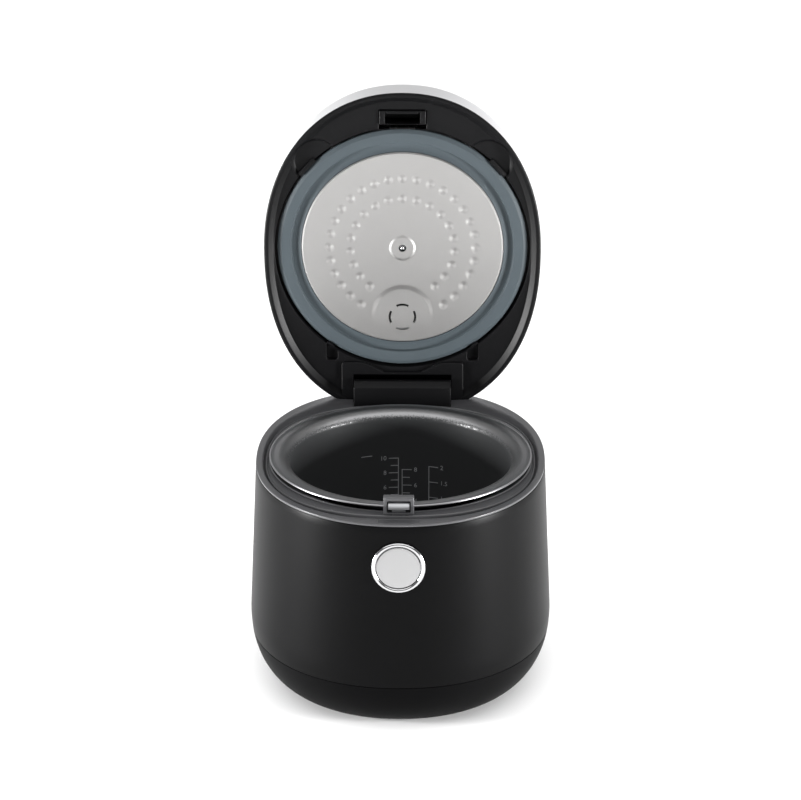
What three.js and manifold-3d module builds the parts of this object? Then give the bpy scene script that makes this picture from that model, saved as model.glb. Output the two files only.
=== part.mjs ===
// Rice cooker with its lid standing open. Millimetres, +Z up, front towards -Y.
// Everything is laid out around the inner pot's axis, then moved so that the origin is the centre of
// the footprint, on the surface the cooker stands on.
import * as THREE from 'three';
import { ParametricGeometry } from 'three/addons/geometries/ParametricGeometry.js';
import { mergeVertices } from 'three/addons/utils/BufferGeometryUtils.js';
import Module from 'manifold-3d';

const wasm = await Module();
wasm.setup();

// ---------- driving dimensions ----------
const ovalSides = 48; // facets round the oval shells
const roundSides = 36; // facets round the large round parts
const gap = 0.3; // clearance between parts that touch
const wall = 2.6; // moulded wall thickness

const lipOutline = { half: 131.4, front: 151.5, rear: 167.3 }; // plan of the body at its lip
const widestOutline = { half: 137.3, front: 155.1, rear: 172.7 }; // plan of the body where it is widest
const lidOutline = { half: 128.3, front: 152.4, rear: 164.5 }; // plan of the lid, about its disc's centre
const ridgeOutline = { half: 121.5, front: 129, rear: 129 }; // plan of the ridge inside the drip channel
const frontPower = 2.13; // superellipse power of the front half
const rearPower = 2.25; // superellipse power of the rear half
const ridgePower = 2.4;

const lipHeight = 205.6;
const widestHeight = 63.7;
const seamHeight = 47.5; // between casing and base cover
const baseHeight = 1.2; // underside of the base cover
const cornerInset = 48.5; // how far the lower corner pulls in at the ground
const cornerPower = 2.26;

const rimRadius = 119.3; // inner pot's rolled edge
const rimHeight = 210;
const potInside = 100.4;
const potFloor = 52;
const wellRadius = 107.2;

const hinge = { y: 146, z: 210, pin: 2, block: 45.3, notch: 67, tray: 51, barrel: 9, sweep: 22.2 };
const lidCentre = -144.5; // disc's centre, measured from the hinge axis
const partingPlane = -3.8; // lid's rim plane, measured from the hinge axis
const lidHeight = 48.6; // rim plane to the flat top
const gasketRadius = 115.8;
const discRadius = 93.4;
const ventOffset = 66; // steam vent, from the disc's centre towards the hinge

const button = { z: 165, radius: 19.6, bezel: 24, face: -153.8, travel: 3 };
const latch = { half: 13.5, front: -129, rear: -121.3, top: 222 };

// ---------- solids ----------
function asSolid(geometry) {
  const mesh = new wasm.Mesh({
    numProp: 3,
    vertProperties: Float32Array.from(geometry.attributes.position.array),
    triVerts: Uint32Array.from(geometry.index.array),
  });
  return new wasm.Manifold(mesh);
}

function asGeometry(solid) {
  const mesh = solid.getMesh();
  const geometry = new THREE.BufferGeometry();
  geometry.setAttribute('position', new THREE.BufferAttribute(mesh.vertProperties, 3));
  geometry.setIndex(new THREE.BufferAttribute(mesh.triVerts, 1));
  return geometry;
}

function volume(geometry) {
  const corner = [new THREE.Vector3(), new THREE.Vector3(), new THREE.Vector3()];
  let total = 0;
  for (let i = 0; i < geometry.index.count; i += 3) {
    corner.forEach((point, k) => point.fromBufferAttribute(geometry.attributes.position, geometry.index.getX(i + k)));
    total += corner[0].dot(corner[1].clone().cross(corner[2])) / 6;
  }
  return total;
}

// Merges shared vertices, drops collapsed triangles and turns the faces outwards.
function closed(source) {
  const bare = source.clone();
  for (const name of Object.keys(bare.attributes)) {
    if (name !== 'position') bare.deleteAttribute(name);
  }
  const geometry = mergeVertices(bare, 1e-3);
  const kept = [];
  for (let i = 0; i < geometry.index.count; i += 3) {
    const [a, b, c] = [0, 1, 2].map((k) => geometry.index.getX(i + k));
    if (a !== b && b !== c && a !== c) kept.push([a, b, c]);
  }
  geometry.setIndex(kept.flat());
  if (volume(geometry) < 0) geometry.setIndex(kept.map(([a, b, c]) => [a, c, b]).flat());
  return geometry;
}

function cut(geometry, ...tools) {
  let solid = asSolid(closed(geometry));
  for (const tool of tools) solid = solid.subtract(asSolid(closed(tool)));
  return asGeometry(solid);
}

function join(geometry, ...others) {
  let solid = asSolid(closed(geometry));
  for (const other of others) solid = solid.add(asSolid(closed(other)));
  return asGeometry(solid);
}

function common(geometry, other) {
  return asGeometry(asSolid(closed(geometry)).intersect(asSolid(closed(other))));
}

// A box from its lowest and highest corners.
function block(low, high) {
  const size = high.map((value, k) => value - low[k]);
  return new THREE.BoxGeometry(...size).translate(...low.map((value, k) => value + size[k] / 2));
}

// A solid of revolution about Z from [radius, height] points.
function turned(points, sides = roundSides) {
  return new THREE.LatheGeometry(points.map(([r, z]) => new THREE.Vector2(r, z)), sides).rotateX(Math.PI / 2);
}

function tubeProfile(inner, outer, low, high) {
  return [[inner, low], [outer, low], [outer, high], [inner, high], [inner, low]];
}

function disc(radius, low, high, sides = roundSides) {
  return turned([[0, low], [radius, low], [radius, high], [0, high]], sides);
}

// A rod along X between two places, about the axis y = z = 0.
function rodAlongX(radius, low, high, sides = 24) {
  return disc(radius, low, high, sides).rotateY(Math.PI / 2);
}

// A ring of points round an outline: superellipse quadrants drawn in by an inset.
function ovalRing(outline, inset, z, power) {
  return { z, at: (angle) => {
    const ahead = Math.sin(angle) < 0;
    const n = power ?? (ahead ? frontPower : rearPower);
    const depth = (ahead ? outline.front : outline.rear) - inset;
    const [c, s] = [Math.cos(angle), Math.sin(angle)];
    return [(outline.half - inset) * Math.sign(c) * Math.abs(c) ** (2 / n), depth * Math.sign(s) * Math.abs(s) ** (2 / n)];
  } };
}

function roundRing(radius, z) {
  return { z, at: (angle) => [radius * Math.cos(angle), radius * Math.sin(angle)] };
}

// A closed shell through rings; the rings run from pole to pole, or come back to the first.
function shell(rings, sides = ovalSides) {
  return new ParametricGeometry((u, v, target) => {
    const ring = rings[Math.round(v * (rings.length - 1))];
    const [x, y] = ring.at((Math.round(u * sides) % sides) * 2 * Math.PI / sides);
    target.set(x, y, ring.z);
  }, sides, rings.length - 1);
}

function loop(...rings) {
  return shell([...rings, rings[0]]);
}

// The body's outline at a height: straight flare above the widest place, a full corner below it.
function bodyRing(inset, z) {
  const t = Math.max(0, (z - widestHeight) / (lipHeight - widestHeight));
  const mix = (key) => widestOutline[key] + (lipOutline[key] - widestOutline[key]) * t;
  const drop = Math.max(0, (widestHeight - z) / widestHeight);
  const corner = cornerInset * (1 - (1 - drop ** cornerPower) ** (1 / cornerPower));
  return ovalRing({ half: mix('half'), front: mix('front'), rear: mix('rear') }, corner + inset, z);
}

function helix(radius, wire, low, high, turns) {
  class Coil extends THREE.Curve {
    getPoint(t) {
      const angle = 2 * Math.PI * turns * t;
      return new THREE.Vector3(radius * Math.cos(angle), radius * Math.sin(angle), low + wire + (high - low - 2 * wire) * t);
    }
  }
  const section = new THREE.Shape(new THREE.EllipseCurve(0, 0, wire, wire).getPoints(5).slice(0, 5));
  return new THREE.ExtrudeGeometry(section, { steps: turns * 12, extrudePath: new Coil(), bevelEnabled: false });
}

function prismAlongX(points, low, high) {
  const shape = new THREE.Shape(points.map(([y, z]) => new THREE.Vector2(y, z)));
  return new THREE.ExtrudeGeometry(shape, { depth: high - low, bevelEnabled: false })
    .applyMatrix4(new THREE.Matrix4().set(0, 0, 1, low, 1, 0, 0, 0, 0, 1, 0, 0, 0, 0, 0, 1));
}

function prismAlongY(points, low, high) {
  const shape = new THREE.Shape(points.map(([x, z]) => new THREE.Vector2(x, z)));
  return new THREE.ExtrudeGeometry(shape, { depth: high - low, bevelEnabled: false })
    .rotateX(Math.PI / 2).translate(0, high, 0);
}

function arcPoints(radius, from, to, steps) {
  return Array.from({ length: steps + 1 }, (_, k) => {
    const angle = THREE.MathUtils.degToRad(from + (to - from) * k / steps);
    return [radius * Math.cos(angle), radius * Math.sin(angle)];
  });
}

// ---------- finishes ----------
const finishes = {
  blackMatte: { color: 0x1c1c1e, roughness: 0.55, metalness: 0 },
  blackSatin: { color: 0x2b2c2e, roughness: 0.4, metalness: 0 },
  deckGrey: { color: 0x4b4c4f, roughness: 0.4, metalness: 0 },
  silverShell: { color: 0xd2d2d4, roughness: 0.35, metalness: 0.2 },
  chrome: { color: 0xe6e6e8, roughness: 0.08, metalness: 1 },
  brushed: { color: 0xc9c9cb, roughness: 0.3, metalness: 1 },
  steel: { color: 0xb9babd, roughness: 0.3, metalness: 1 },
  aluminium: { color: 0xc8c8ca, roughness: 0.4, metalness: 1 },
  pot: { color: 0x8d8e90, roughness: 0.3, metalness: 1 },
  silicone: { color: 0x5b6468, roughness: 0.6, metalness: 0 },
  rubber: { color: 0x202020, roughness: 0.8, metalness: 0 },
  glossBlack: { color: 0x0b0b0c, roughness: 0.1, metalness: 0 },
  board: { color: 0x2f5d3a, roughness: 0.6, metalness: 0 },
  brass: { color: 0xb08d4f, roughness: 0.3, metalness: 1 },
};

const cooker = new THREE.Group();
const body = new THREE.Group();
const lid = new THREE.Group();
cooker.add(body, lid);

function part(group, name, geometry, finish) {
  const mesh = new THREE.Mesh(closed(geometry), new THREE.MeshStandardMaterial(finishes[finish]));
  mesh.name = name;
  group.add(mesh);
  return mesh;
}

// ---------- body shells ----------
const deckTop = lipHeight;
const casingTop = lipHeight - 2.3;
const notchFront = hinge.y - 4.3;
const notchClearance = 0.6;

// The height that clears the lid's rear edge as it turns, at a place across.
function notchHeight(x) {
  const reach = (1 - (Math.abs(x) / lidOutline.half) ** rearPower) ** (1 / rearPower);
  const edge = Math.max(0, lidOutline.rear * reach + lidCentre);
  return hinge.z - Math.hypot(edge, partingPlane) - notchClearance;
}

function notchCurve(half, drop = 0) {
  return Array.from({ length: 17 }, (_, k) => half * (k / 8 - 1)).map((x) => [x, notchHeight(x) - drop]);
}

const rearCut = prismAlongY([...notchCurve(hinge.notch), [hinge.notch, 240], [-hinge.notch, 240]], notchFront, 220);
const blockFront = -16; // front face of the hinge block, from the hinge axis
const blockSeat = block([-hinge.block - gap, hinge.y + blockFront - gap, 150], [hinge.block + gap, 220, 240]);

function outerCasing() {
  const low = seamHeight + gap;
  const skin = loop(
    bodyRing(0, low), bodyRing(0, 55), bodyRing(0, widestHeight), bodyRing(0, casingTop),
    bodyRing(wall, casingTop), bodyRing(wall, widestHeight), bodyRing(wall, 55), bodyRing(wall, low),
  );
  const buttonHole = disc(button.bezel + gap, 120, 180, 32).rotateX(Math.PI / 2).translate(0, 0, button.z);
  const inletHole = block([-17.3, 140, 61.7], [17.3, 190, 88.3]);
  return cut(skin, rearCut, buttonHole, inletHole);
}

const footPlaces = [[-60, -72], [60, -72], [-60, 88], [60, 88]];
const screwPlaces = [[-78, -30], [78, -30], [-78, 44], [78, 44]];

function baseCover() {
  const floor = baseHeight + 3.4;
  const top = seamHeight - gap;
  const bowl = shell([
    roundRing(0, baseHeight), bodyRing(0, baseHeight), bodyRing(0, 4.5), bodyRing(0, 11), bodyRing(0, 22), bodyRing(0, 34),
    bodyRing(0, top), bodyRing(wall, top), bodyRing(wall, 34), bodyRing(wall, 22), bodyRing(wall, 12),
    bodyRing(wall + 1.5, floor), roundRing(0, floor),
  ]);
  const pockets = footPlaces.map(([x, y]) => disc(9.6, -5, 3.1, 20).translate(x, y, 0));
  const holes = screwPlaces.flatMap(([x, y]) => [
    disc(2.2, -5, 12, 10).translate(x, y, 0),
    disc(4.2, -5, 3.1, 12).translate(x, y, 0),
  ]);
  const vents = [-2, -1, 0, 1, 2].map((k) => block([k * 12 - 2.5, -20, -5], [k * 12 + 2.5, 20, 12]));
  return cut(bowl, ...pockets, ...holes, ...vents);
}

function deckRing() {
  const ridge = (outset, z) => ovalRing(ridgeOutline, -outset, z, ridgePower);
  const skin = loop(
    bodyRing(3.1, 192), bodyRing(3.1, casingTop + gap), ovalRing(lipOutline, 0.2, casingTop + gap),
    ovalRing(lipOutline, 0, deckTop - 1), ovalRing(lipOutline, 1, deckTop), ovalRing(lipOutline, 5.5, deckTop),
    ridge(1.6, 203), ridge(0.8, 204.6), ridge(-0.5, 204.9), roundRing(118.3, 204.6),
    roundRing(117.6, 203.8), roundRing(117.6, 200.5), roundRing(109.5, 200.5), roundRing(109.5, 198.5),
    bodyRing(6, 198.5), bodyRing(6, 192),
  );
  const recess = block([-18.8, -146.5, 203.4], [18.8, -129.3, 220]);
  const slot = block([-7, -127.9, 180], [7, -121.1, 220]);
  return cut(skin, rearCut, blockSeat, recess, slot);
}

part(body, 'outer_casing', outerCasing(), 'blackMatte');
part(body, 'base_cover', baseCover(), 'blackMatte');
part(body, 'deck_ring', deckRing(), 'deckGrey');

for (const [k, [x, y]] of footPlaces.entries()) {
  const foot = part(body, `foot_${k + 1}`, turned([[0, 0], [8, 0], [9.2, 0.8], [9.2, 2.8], [0, 2.8]], 20), 'rubber');
  foot.position.set(x, y, 0);
}
for (const [k, [x, y]] of screwPlaces.entries()) {
  const profile = [[0, 1.6], [3.8, 1.6], [3.8, 2.8], [1.8, 2.8], [1.8, 15.7], [0, 15.7]];
  const screw = part(body, `base_screw_${k + 1}`, turned(profile, 10), 'steel');
  screw.position.set(x, y, 0);
}

// ---------- heating ----------
part(body, 'pot_well', turned([
  [84.6, 40], [wellRadius + 1.2, 40], [wellRadius + 1.2, 197], [115, 197], [115, 198.2], [wellRadius, 198.2],
  [wellRadius, 41.2], [84.6, 41.2], [84.6, 40],
]), 'aluminium');
part(body, 'heating_plate', turned([
  [22, 40], [84.2, 40], [84.2, 47], [78, 51.7], [22, 51.7], [22, 40],
], 32), 'aluminium');
part(body, 'chassis_plate', turned(tubeProfile(32, 96, 16, 17.6)), 'steel');
part(body, 'sensor_bracket', cut(
  block([-94, -12, 33], [94, 12, 34.6]),
  disc(5.2, 30, 40, 16),
), 'steel');
const sensor = part(body, 'temperature_sensor', turned([
  [0, 24], [4.4, 24], [4.4, 43], [17.5, 43], [18.5, 44], [18.5, 50.4], [17, 51.7], [0, 51.7],
], 24), 'aluminium');
sensor.position.z = 0;
part(body, 'sensor_spring', helix(8.5, 0.8, 35, 42.6, 3), 'steel');

part(body, 'inner_pot', turned([
  [0, potFloor], [70, potFloor], [88, 56.5], [97, 64.5], [101.6, 77], [102.6, 92], [102.6, 192], [104.2, 200],
  [108, 205.8], [112.4, 207.8], [118.2, 207.8], [rimRadius, 208.8], [118.9, 209.8], [118, rimHeight], [111.4, 209.7],
  [106.4, 206.8], [102.2, 200.8], [potInside, 192], [potInside, 92], [99.4, 77.6], [95.3, 66.4], [86.9, 58.9],
  [69.7, 54.4], [0, 54.4],
]), 'pot');

// ---------- power ----------
part(body, 'power_board', block([-48, -92, 21], [48, -36, 22.6]), 'board');
part(body, 'transformer', block([-40, -82, 22.9], [-10, -54, 38]), 'blackSatin');
part(body, 'relay', block([12, -80, 22.9], [30, -62, 35]), 'blackSatin');
part(body, 'ac_inlet', cut(
  join(block([-17, 165, 62], [17, 171.8, 88]), block([-15, 148, 64], [15, 166, 86])),
  block([-12.5, 152, 67], [12.5, 180, 83]),
), 'blackSatin');
for (const [k, x] of [-7, 0, 7].entries()) {
  const lift = k === 1 ? 77.5 : 72.5;
  part(body, `inlet_pin_${k + 1}`, block([x - 1, 152.3, lift - 2.2], [x + 1, 167, lift + 2.2]), 'brass');
}

// ---------- release button and latch ----------
const towardsFront = (geometry) => geometry.rotateX(Math.PI / 2).translate(0, 0, button.z);
const axial = (profile) => profile.map(([r, y]) => [r, -y]);

part(body, 'button_bezel', towardsFront(turned(axial([
  [20.2, -153.4], [21.2, -154.6], [23.2, -154.4], [button.bezel, -152.9], [button.bezel, -145],
  [button.bezel - 2, -145], [button.bezel - 2, -138], [6.5, -138], [6.5, -139.6], [20.2, -139.6], [20.2, -153.4],
]), 32)), 'chrome');
part(body, 'release_button', towardsFront(turned(axial([
  [0, button.face], [18.6, button.face], [button.radius, button.face + 0.9], [button.radius, -149],
  [5, -149], [5, -127.6], [0, -127.6],
]), 32)), 'brushed');
part(body, 'button_spring', towardsFront(helix(9, 0.8, 140.1, 148.6, 3)), 'steel');

function latchHousing() {
  const post = block([-latch.half, latch.front, deckTop - 0.3], [latch.half, latch.rear, latch.top]);
  const hollow = block([-10.6, latch.front + 1.6, 190], [10.6, latch.rear - 0.8, latch.top - 2]);
  const window = block([-10.6, latch.front - 5, 207.2], [10.6, latch.front + 3, 218.6]);
  return cut(post, hollow, window);
}
part(body, 'latch_housing', latchHousing(), 'blackSatin');
part(body, 'latch_hook', join(
  prismAlongX([[-125.2, 211], [-130.9, 211], [-131.2, 212], [-127, 217.2], [-125.2, 217.2]], -9.4, 9.4),
  block([-6, -127, 158], [6, -125.2, 214]),
), 'steel');

// ---------- hinge ----------
const aboutHinge = (geometry) => geometry.translate(0, hinge.y, hinge.z);
const blockProfile = [
  [blockFront, -8], [blockFront, 12.2], [-12.5, 17.4], [-5, 17.4], [-0.6, 13], ...arcPoints(hinge.barrel, 90, -90, 6),
  [-4.4, -7.9], [-4.4, -11.8], [-7, -12], [-7, -19.5], [blockFront, -19.5],
];
part(body, 'hinge_block', aboutHinge(cut(
  prismAlongX(blockProfile, -hinge.block, hinge.block),
  rodAlongX(hinge.pin + 0.4, -80, 80, 12),
  rodAlongX(7.2, -20, 20, 16),
)), 'blackMatte');
part(body, 'hinge_pin', aboutHinge(rodAlongX(hinge.pin, -56, 56, 12)), 'steel');
part(body, 'hinge_spring', aboutHinge(helix(5, 0.9, -18, 18, 5).rotateY(Math.PI / 2)), 'steel');

// A tray under the notch: a curved floor, and a wall behind the hinge block.
const trayTop = notchCurve(hinge.tray, gap);
const trayUnder = notchCurve(hinge.tray, gap + 1.8).reverse();
const trayWall = [[-hinge.block, hinge.z - 12.6], ...notchCurve(hinge.block, gap + 1), [hinge.block, hinge.z - 12.6]];
part(body, 'hinge_tray', common(
  join(
    prismAlongY([...trayTop, ...trayUnder], hinge.y - 6.4, 220),
    prismAlongY(trayWall, hinge.y - 6.4, hinge.y - 4.6),
  ),
  shell([roundRing(0, 150), bodyRing(6.3, 150), bodyRing(6.3, 204), roundRing(0, 204)]),
), 'blackMatte');

// ---------- lid, drawn shut, about the hinge axis ----------
const disced = new THREE.Group(); // lid parts round the disc's centre, heights from the rim plane
disced.position.set(0, lidCentre, partingPlane);
lid.add(disced);
const lidRing = (inset, h) => ovalRing(lidOutline, inset, h);
const toDisc = (geometry) => geometry.translate(0, -lidCentre, -partingPlane);
const pinBore = toDisc(rodAlongX(hinge.pin + 0.4, -56.5, 56.5, 12));
const barrelCut = toDisc(rodAlongX(hinge.barrel + 0.6, -46, 46, 24));
const sweepProfile = (radius) => [[0.4, -6], ...arcPoints(radius, 88, 195, 10)];
const blockCut = toDisc(prismAlongX(sweepProfile(hinge.sweep), -46, 46));
const ventHole = (radius) => disc(radius, -10, 60, 24).translate(0, ventOffset, 0);

const crownPower = 2.9; // roundness of the cover's shoulder
const frameFloor = 4.2;
const frameWall = 4.2;
const seatDepth = 14;
const flange = 1.8; // frame's rim, over the cover's edge
const coverFoot = flange + gap;
const nested = wall + gap; // frame's sides, inside the cover

// The raised platform round the hinge; its front edge dips towards the middle to lead water there.
function hingePlatform() {
  const edge = new THREE.Shape();
  edge.moveTo(-57, 180);
  edge.lineTo(-57, 115.5);
  edge.quadraticCurveTo(-57, 112.7, -54, 112.7);
  edge.lineTo(-41, 112.7);
  edge.bezierCurveTo(-32, 113.5, -25, 127.5, 0, 127.5);
  edge.bezierCurveTo(25, 127.5, 32, 113.5, 41, 112.7);
  edge.lineTo(54, 112.7);
  edge.quadraticCurveTo(57, 112.7, 57, 115.5);
  edge.lineTo(57, 180);
  const platform = new THREE.ExtrudeGeometry(edge, { depth: frameFloor + 1, bevelEnabled: false, curveSegments: 5 });
  const inside = shell([roundRing(0, 0.8), lidRing(3, 0.8), lidRing(3, frameFloor + 1), roundRing(0, frameFloor + 1)]);
  return common(platform, inside);
}

function lidInnerFrame() {
  const back = frameFloor + frameWall;
  const skin = shell([
    roundRing(0, seatDepth), roundRing(118.3, seatDepth), roundRing(118.3, frameFloor), lidRing(7.4, frameFloor),
    lidRing(3.4, 0), lidRing(1.2, 0), lidRing(0, 1), lidRing(0, flange),
    lidRing(nested, flange), lidRing(nested, back), roundRing(120.8, back),
    roundRing(120.8, seatDepth + 2.4), roundRing(0, seatDepth + 2.4),
  ]);
  const recess = toDisc(prismAlongX(sweepProfile(hinge.sweep + 2), -48, 48));
  const boss = toDisc(prismAlongX([[-5, -3], [3.4, -3], [3.4, 6], [-5, 6]], -57, 57));
  const solid = join(skin, hingePlatform(), common(recess, block([-60, 100, 0.8], [60, 164, 40])), boss);
  const pocket = block([-21.8, -135.2, -5], [21.8, -120, 30]);
  const tabSlot = block([-12, -120.3, -5], [12, -116.1, 12.4]);
  const scallops = [-79, 79].map((x) => disc(22, 0, back - 1.2, 24).translate(x, -84, 0));
  return cut(solid, pinBore, barrelCut, blockCut, ventHole(14), pocket, tabSlot, ...scallops);
}

function coverInset(h) {
  const lift = Math.max(0, (h - 16) / (lidHeight - 16));
  return 40 * (1 - (1 - lift ** crownPower) ** (1 / crownPower));
}

function lidOuterCover() {
  const heights = [lidHeight, 47.2, 44, 39, 32, 24, coverFoot];
  const outside = heights.map((h) => lidRing(coverInset(h), h));
  const inside = heights.slice(1).reverse().map((h) => lidRing(coverInset(h) + wall, Math.min(h, lidHeight - wall)));
  const skin = shell([roundRing(0, lidHeight), ...outside, ...inside, roundRing(0, lidHeight - wall)]);
  const panelPocket = block([-42.3, -104.3, lidHeight - 1.2], [42.3, -35.7, 60]);
  return cut(skin, barrelCut, blockCut, ventHole(22.4), panelPocket);
}

part(disced, 'lid_inner_frame', lidInnerFrame(), 'blackSatin');
part(disced, 'lid_outer_cover', lidOuterCover(), 'silverShell');
part(disced, 'lid_gasket', turned([
  [gasketRadius, 6.4], [gasketRadius - 1.7, 4.7], [103.4, 4.7], [102.6, 5.9], [98, 7], [discRadius + 0.5, 6.6],
  [discRadius + 0.5, 9.6], [gasketRadius, 9.6], [gasketRadius, 6.4],
], 40), 'silicone');
part(disced, 'inner_lid_plate', cut(
  turned([[3.5, 4.6], [11.5, 4.6], [14, 5.4], [discRadius - 0.8, 5.4], [discRadius, 6.2], [discRadius, 6.6], [14, 6.6], [3.5, 5.8], [3.5, 4.6]]),
  ventHole(9),
), 'aluminium');
part(disced, 'lid_heater_plate', cut(turned(tubeProfile(7.6, 91, 7.4, 9.4), 32), ventHole(14)), 'aluminium');
part(disced, 'inner_lid_body', cut(turned(tubeProfile(4, 116.4, 10, 13.6), 32), ventHole(14)), 'blackSatin');
part(disced, 'pin_grommet', turned(tubeProfile(3, 7.2, 6.9, 9.6), 16), 'silicone');
part(disced, 'centre_pin', turned([[0, 4.2], [1.6, 4.2], [2.6, 5], [2.6, 13.6], [0, 13.6]], 16), 'chrome');

const valveBody = part(disced, 'steam_valve_body', turned([
  [11.5, 7], [13.5, 7], [13.5, 41.8], [21.8, 41.8], [21.8, 43.6], [11.5, 43.6], [11.5, 7],
], 24), 'blackSatin');
valveBody.position.y = ventOffset;
const valveCap = part(disced, 'steam_valve_cap', cut(
  turned([
    [0, 41], [11.1, 41], [11.1, 43.9], [21.9, 43.9], [21.9, 49.6], [20.6, 51], [0, 51.4],
  ], 24),
  ...[-1, 0, 1].map((k) => block([-8, k * 6 - 1.2, 40], [8, k * 6 + 1.2, 55])),
), 'blackSatin');
valveCap.position.y = ventOffset;

part(disced, 'control_panel', block([-42, -104, lidHeight - 0.9], [42, -36, lidHeight + 0.3]), 'glossBlack');
part(disced, 'display_board', block([-38, -100, 39], [38, -40, 40.6]), 'board');

function latchStrike() {
  const outer = block([-21.5, -134.9, 1.2], [21.5, -121.4, 20]);
  const pocket = block([-16, -133.5, -5], [16, -122.4, 18.4]);
  const ledge = block([-14, -134, 1.4], [14, -131.6, 4.2]);
  return join(cut(outer, pocket), ledge);
}
part(disced, 'latch_strike', latchStrike(), 'blackSatin');
part(disced, 'inner_lid_tab', block([-11.5, -118, 4.4], [11.5, -116.4, 12]), 'blackSatin');

const clipAngles = [42, 138, 235, 305];
for (const [k, degrees] of clipAngles.entries()) {
  const clip = part(disced, `gasket_clip_${k + 1}`, block([116.1, -4, 4.6], [117.2, 4, 10]), 'blackSatin');
  clip.rotation.z = -THREE.MathUtils.degToRad(degrees);
}

lid.position.set(0, hinge.y, hinge.z);
lid.rotation.x = -Math.PI / 2; // standing open

// ---------- place on the footprint's centre ----------
cooker.updateMatrixWorld(true);
const bounds = new THREE.Box3().setFromObject(cooker);
cooker.position.y = -(bounds.min.y + bounds.max.y) / 2;
cooker.updateMatrixWorld(true);

export default cooker;
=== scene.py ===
"""Rice cooker with its lid standing open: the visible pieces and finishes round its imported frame."""

import logging
import math
from dataclasses import dataclass, field
from enum import Enum
from typing import Any, Optional, Sequence, Union

import bmesh
import bpy
import numpy as np
from mathutils import Matrix, Vector


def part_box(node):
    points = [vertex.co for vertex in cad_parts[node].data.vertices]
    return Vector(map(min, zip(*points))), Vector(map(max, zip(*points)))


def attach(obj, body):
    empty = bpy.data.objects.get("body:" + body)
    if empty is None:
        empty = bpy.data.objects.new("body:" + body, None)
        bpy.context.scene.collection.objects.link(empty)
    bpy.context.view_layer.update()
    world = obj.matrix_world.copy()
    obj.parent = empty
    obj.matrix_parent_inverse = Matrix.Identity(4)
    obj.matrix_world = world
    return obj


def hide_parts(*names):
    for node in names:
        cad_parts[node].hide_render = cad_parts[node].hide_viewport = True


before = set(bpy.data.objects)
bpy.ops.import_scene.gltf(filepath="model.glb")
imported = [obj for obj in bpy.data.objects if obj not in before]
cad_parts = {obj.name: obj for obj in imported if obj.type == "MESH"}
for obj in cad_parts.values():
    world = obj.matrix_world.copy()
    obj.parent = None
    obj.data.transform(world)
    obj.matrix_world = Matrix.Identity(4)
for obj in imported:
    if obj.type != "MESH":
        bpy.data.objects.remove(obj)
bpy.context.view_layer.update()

LOG = logging.getLogger("rice_cooker")
MM = 0.001
SIDES = 192  # facets round the oval shells
TURNS = 128  # facets round the large round parts
SMALL_TURNS = 40  # facets round the small round parts

Ring = np.ndarray
Pair = tuple[float, float]
Key = Union[str, int]


# ---------- drawing axes ----------


def middle(node: str) -> Vector:
    """The centre of a frame node's box, in metres."""
    low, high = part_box(node)
    return (low + high) / 2


class Station(Enum):
    """The axes that a piece is drawn on, in millimetres."""

    BODY = "pot's axis, heights from the ground"
    LID = "disc's centre, heights from the rim plane, drawn shut with the hinge towards +Y"
    BUTTON = "button's axis, heights towards the front"
    HINGE = "hinge axis"

    def matrix(self) -> Matrix:
        """The move from these axes to the row frame, in metres."""
        pot = middle("inner_pot")
        if self is Station.BODY:
            place, turn = Vector((0, pot.y, 0)), Matrix.Identity(3)
        elif self is Station.LID:
            place = Vector((0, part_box("lid_inner_frame")[0].y, middle("centre_pin").z))
            turn = Matrix(((1, 0, 0), (0, 0, 1), (0, -1, 0)))
        elif self is Station.BUTTON:
            place = Vector((0, pot.y, middle("release_button").z))
            turn = Matrix(((1, 0, 0), (0, 0, -1), (0, 1, 0)))
        else:
            pin = middle("hinge_pin")
            place, turn = Vector((0, pin.y, pin.z)), Matrix.Identity(3)
        return Matrix.Translation(place) @ turn.to_4x4() @ Matrix.Scale(MM, 4)


# ---------- meshes ----------


def solid(points: np.ndarray, faces: Sequence[Sequence[int]]) -> bpy.types.Mesh:
    """Makes a closed mesh, with doubles merged and its faces outwards.

    Args:
        points: Corners, in millimetres.
        faces: Corner numbers of each face, all wound one way.

    Returns:
        The mesh.
    """
    mesh = bpy.data.meshes.new("drawing")
    mesh.from_pydata([tuple(map(float, p)) for p in points], [], [tuple(f) for f in faces])
    work = bmesh.new()
    work.from_mesh(mesh)
    bmesh.ops.remove_doubles(work, verts=work.verts, dist=1e-4)
    bmesh.ops.dissolve_degenerate(work, edges=work.edges, dist=1e-5)
    if work.calc_volume(signed=True) < 0:
        bmesh.ops.reverse_faces(work, faces=work.faces)
    work.to_mesh(mesh)
    work.free()
    return mesh


def loft(rings: Sequence[Ring], looped: bool = False) -> bpy.types.Mesh:
    """Joins rings of equal length into a closed shell.

    Args:
        rings: The rings in order; unlooped shells begin and end with flat caps or poles.
        looped: Whether the last ring joins the first.

    Returns:
        The mesh.
    """
    every = list(rings)
    if not looped:
        every = [np.repeat(rings[0].mean(0)[None], len(rings[0]), 0), *every]
        every.append(np.repeat(rings[-1].mean(0)[None], len(rings[-1]), 0))
    count, sides = len(every), len(every[0])
    faces = []
    for j in range(count if looped else count - 1):
        low, high = j * sides, ((j + 1) % count) * sides
        faces += [
            (low + i, low + (i + 1) % sides, high + (i + 1) % sides, high + i)
            for i in range(sides)
        ]
    return solid(np.concatenate(every), faces)


def circle(radius: float, height: float, sides: int = SIDES) -> Ring:
    """A level ring about the axis."""
    angle = np.arange(sides) * 2 * np.pi / sides
    flat = np.full(sides, height)
    return np.stack([radius * np.cos(angle), radius * np.sin(angle), flat], 1)


def turned(profile: Sequence[Pair], sides: int = TURNS, looped: bool = False) -> bpy.types.Mesh:
    """Turns a profile of (radius, height) pairs about the axis."""
    return loft([circle(r, h, sides) for r, h in profile], looped)


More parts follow.
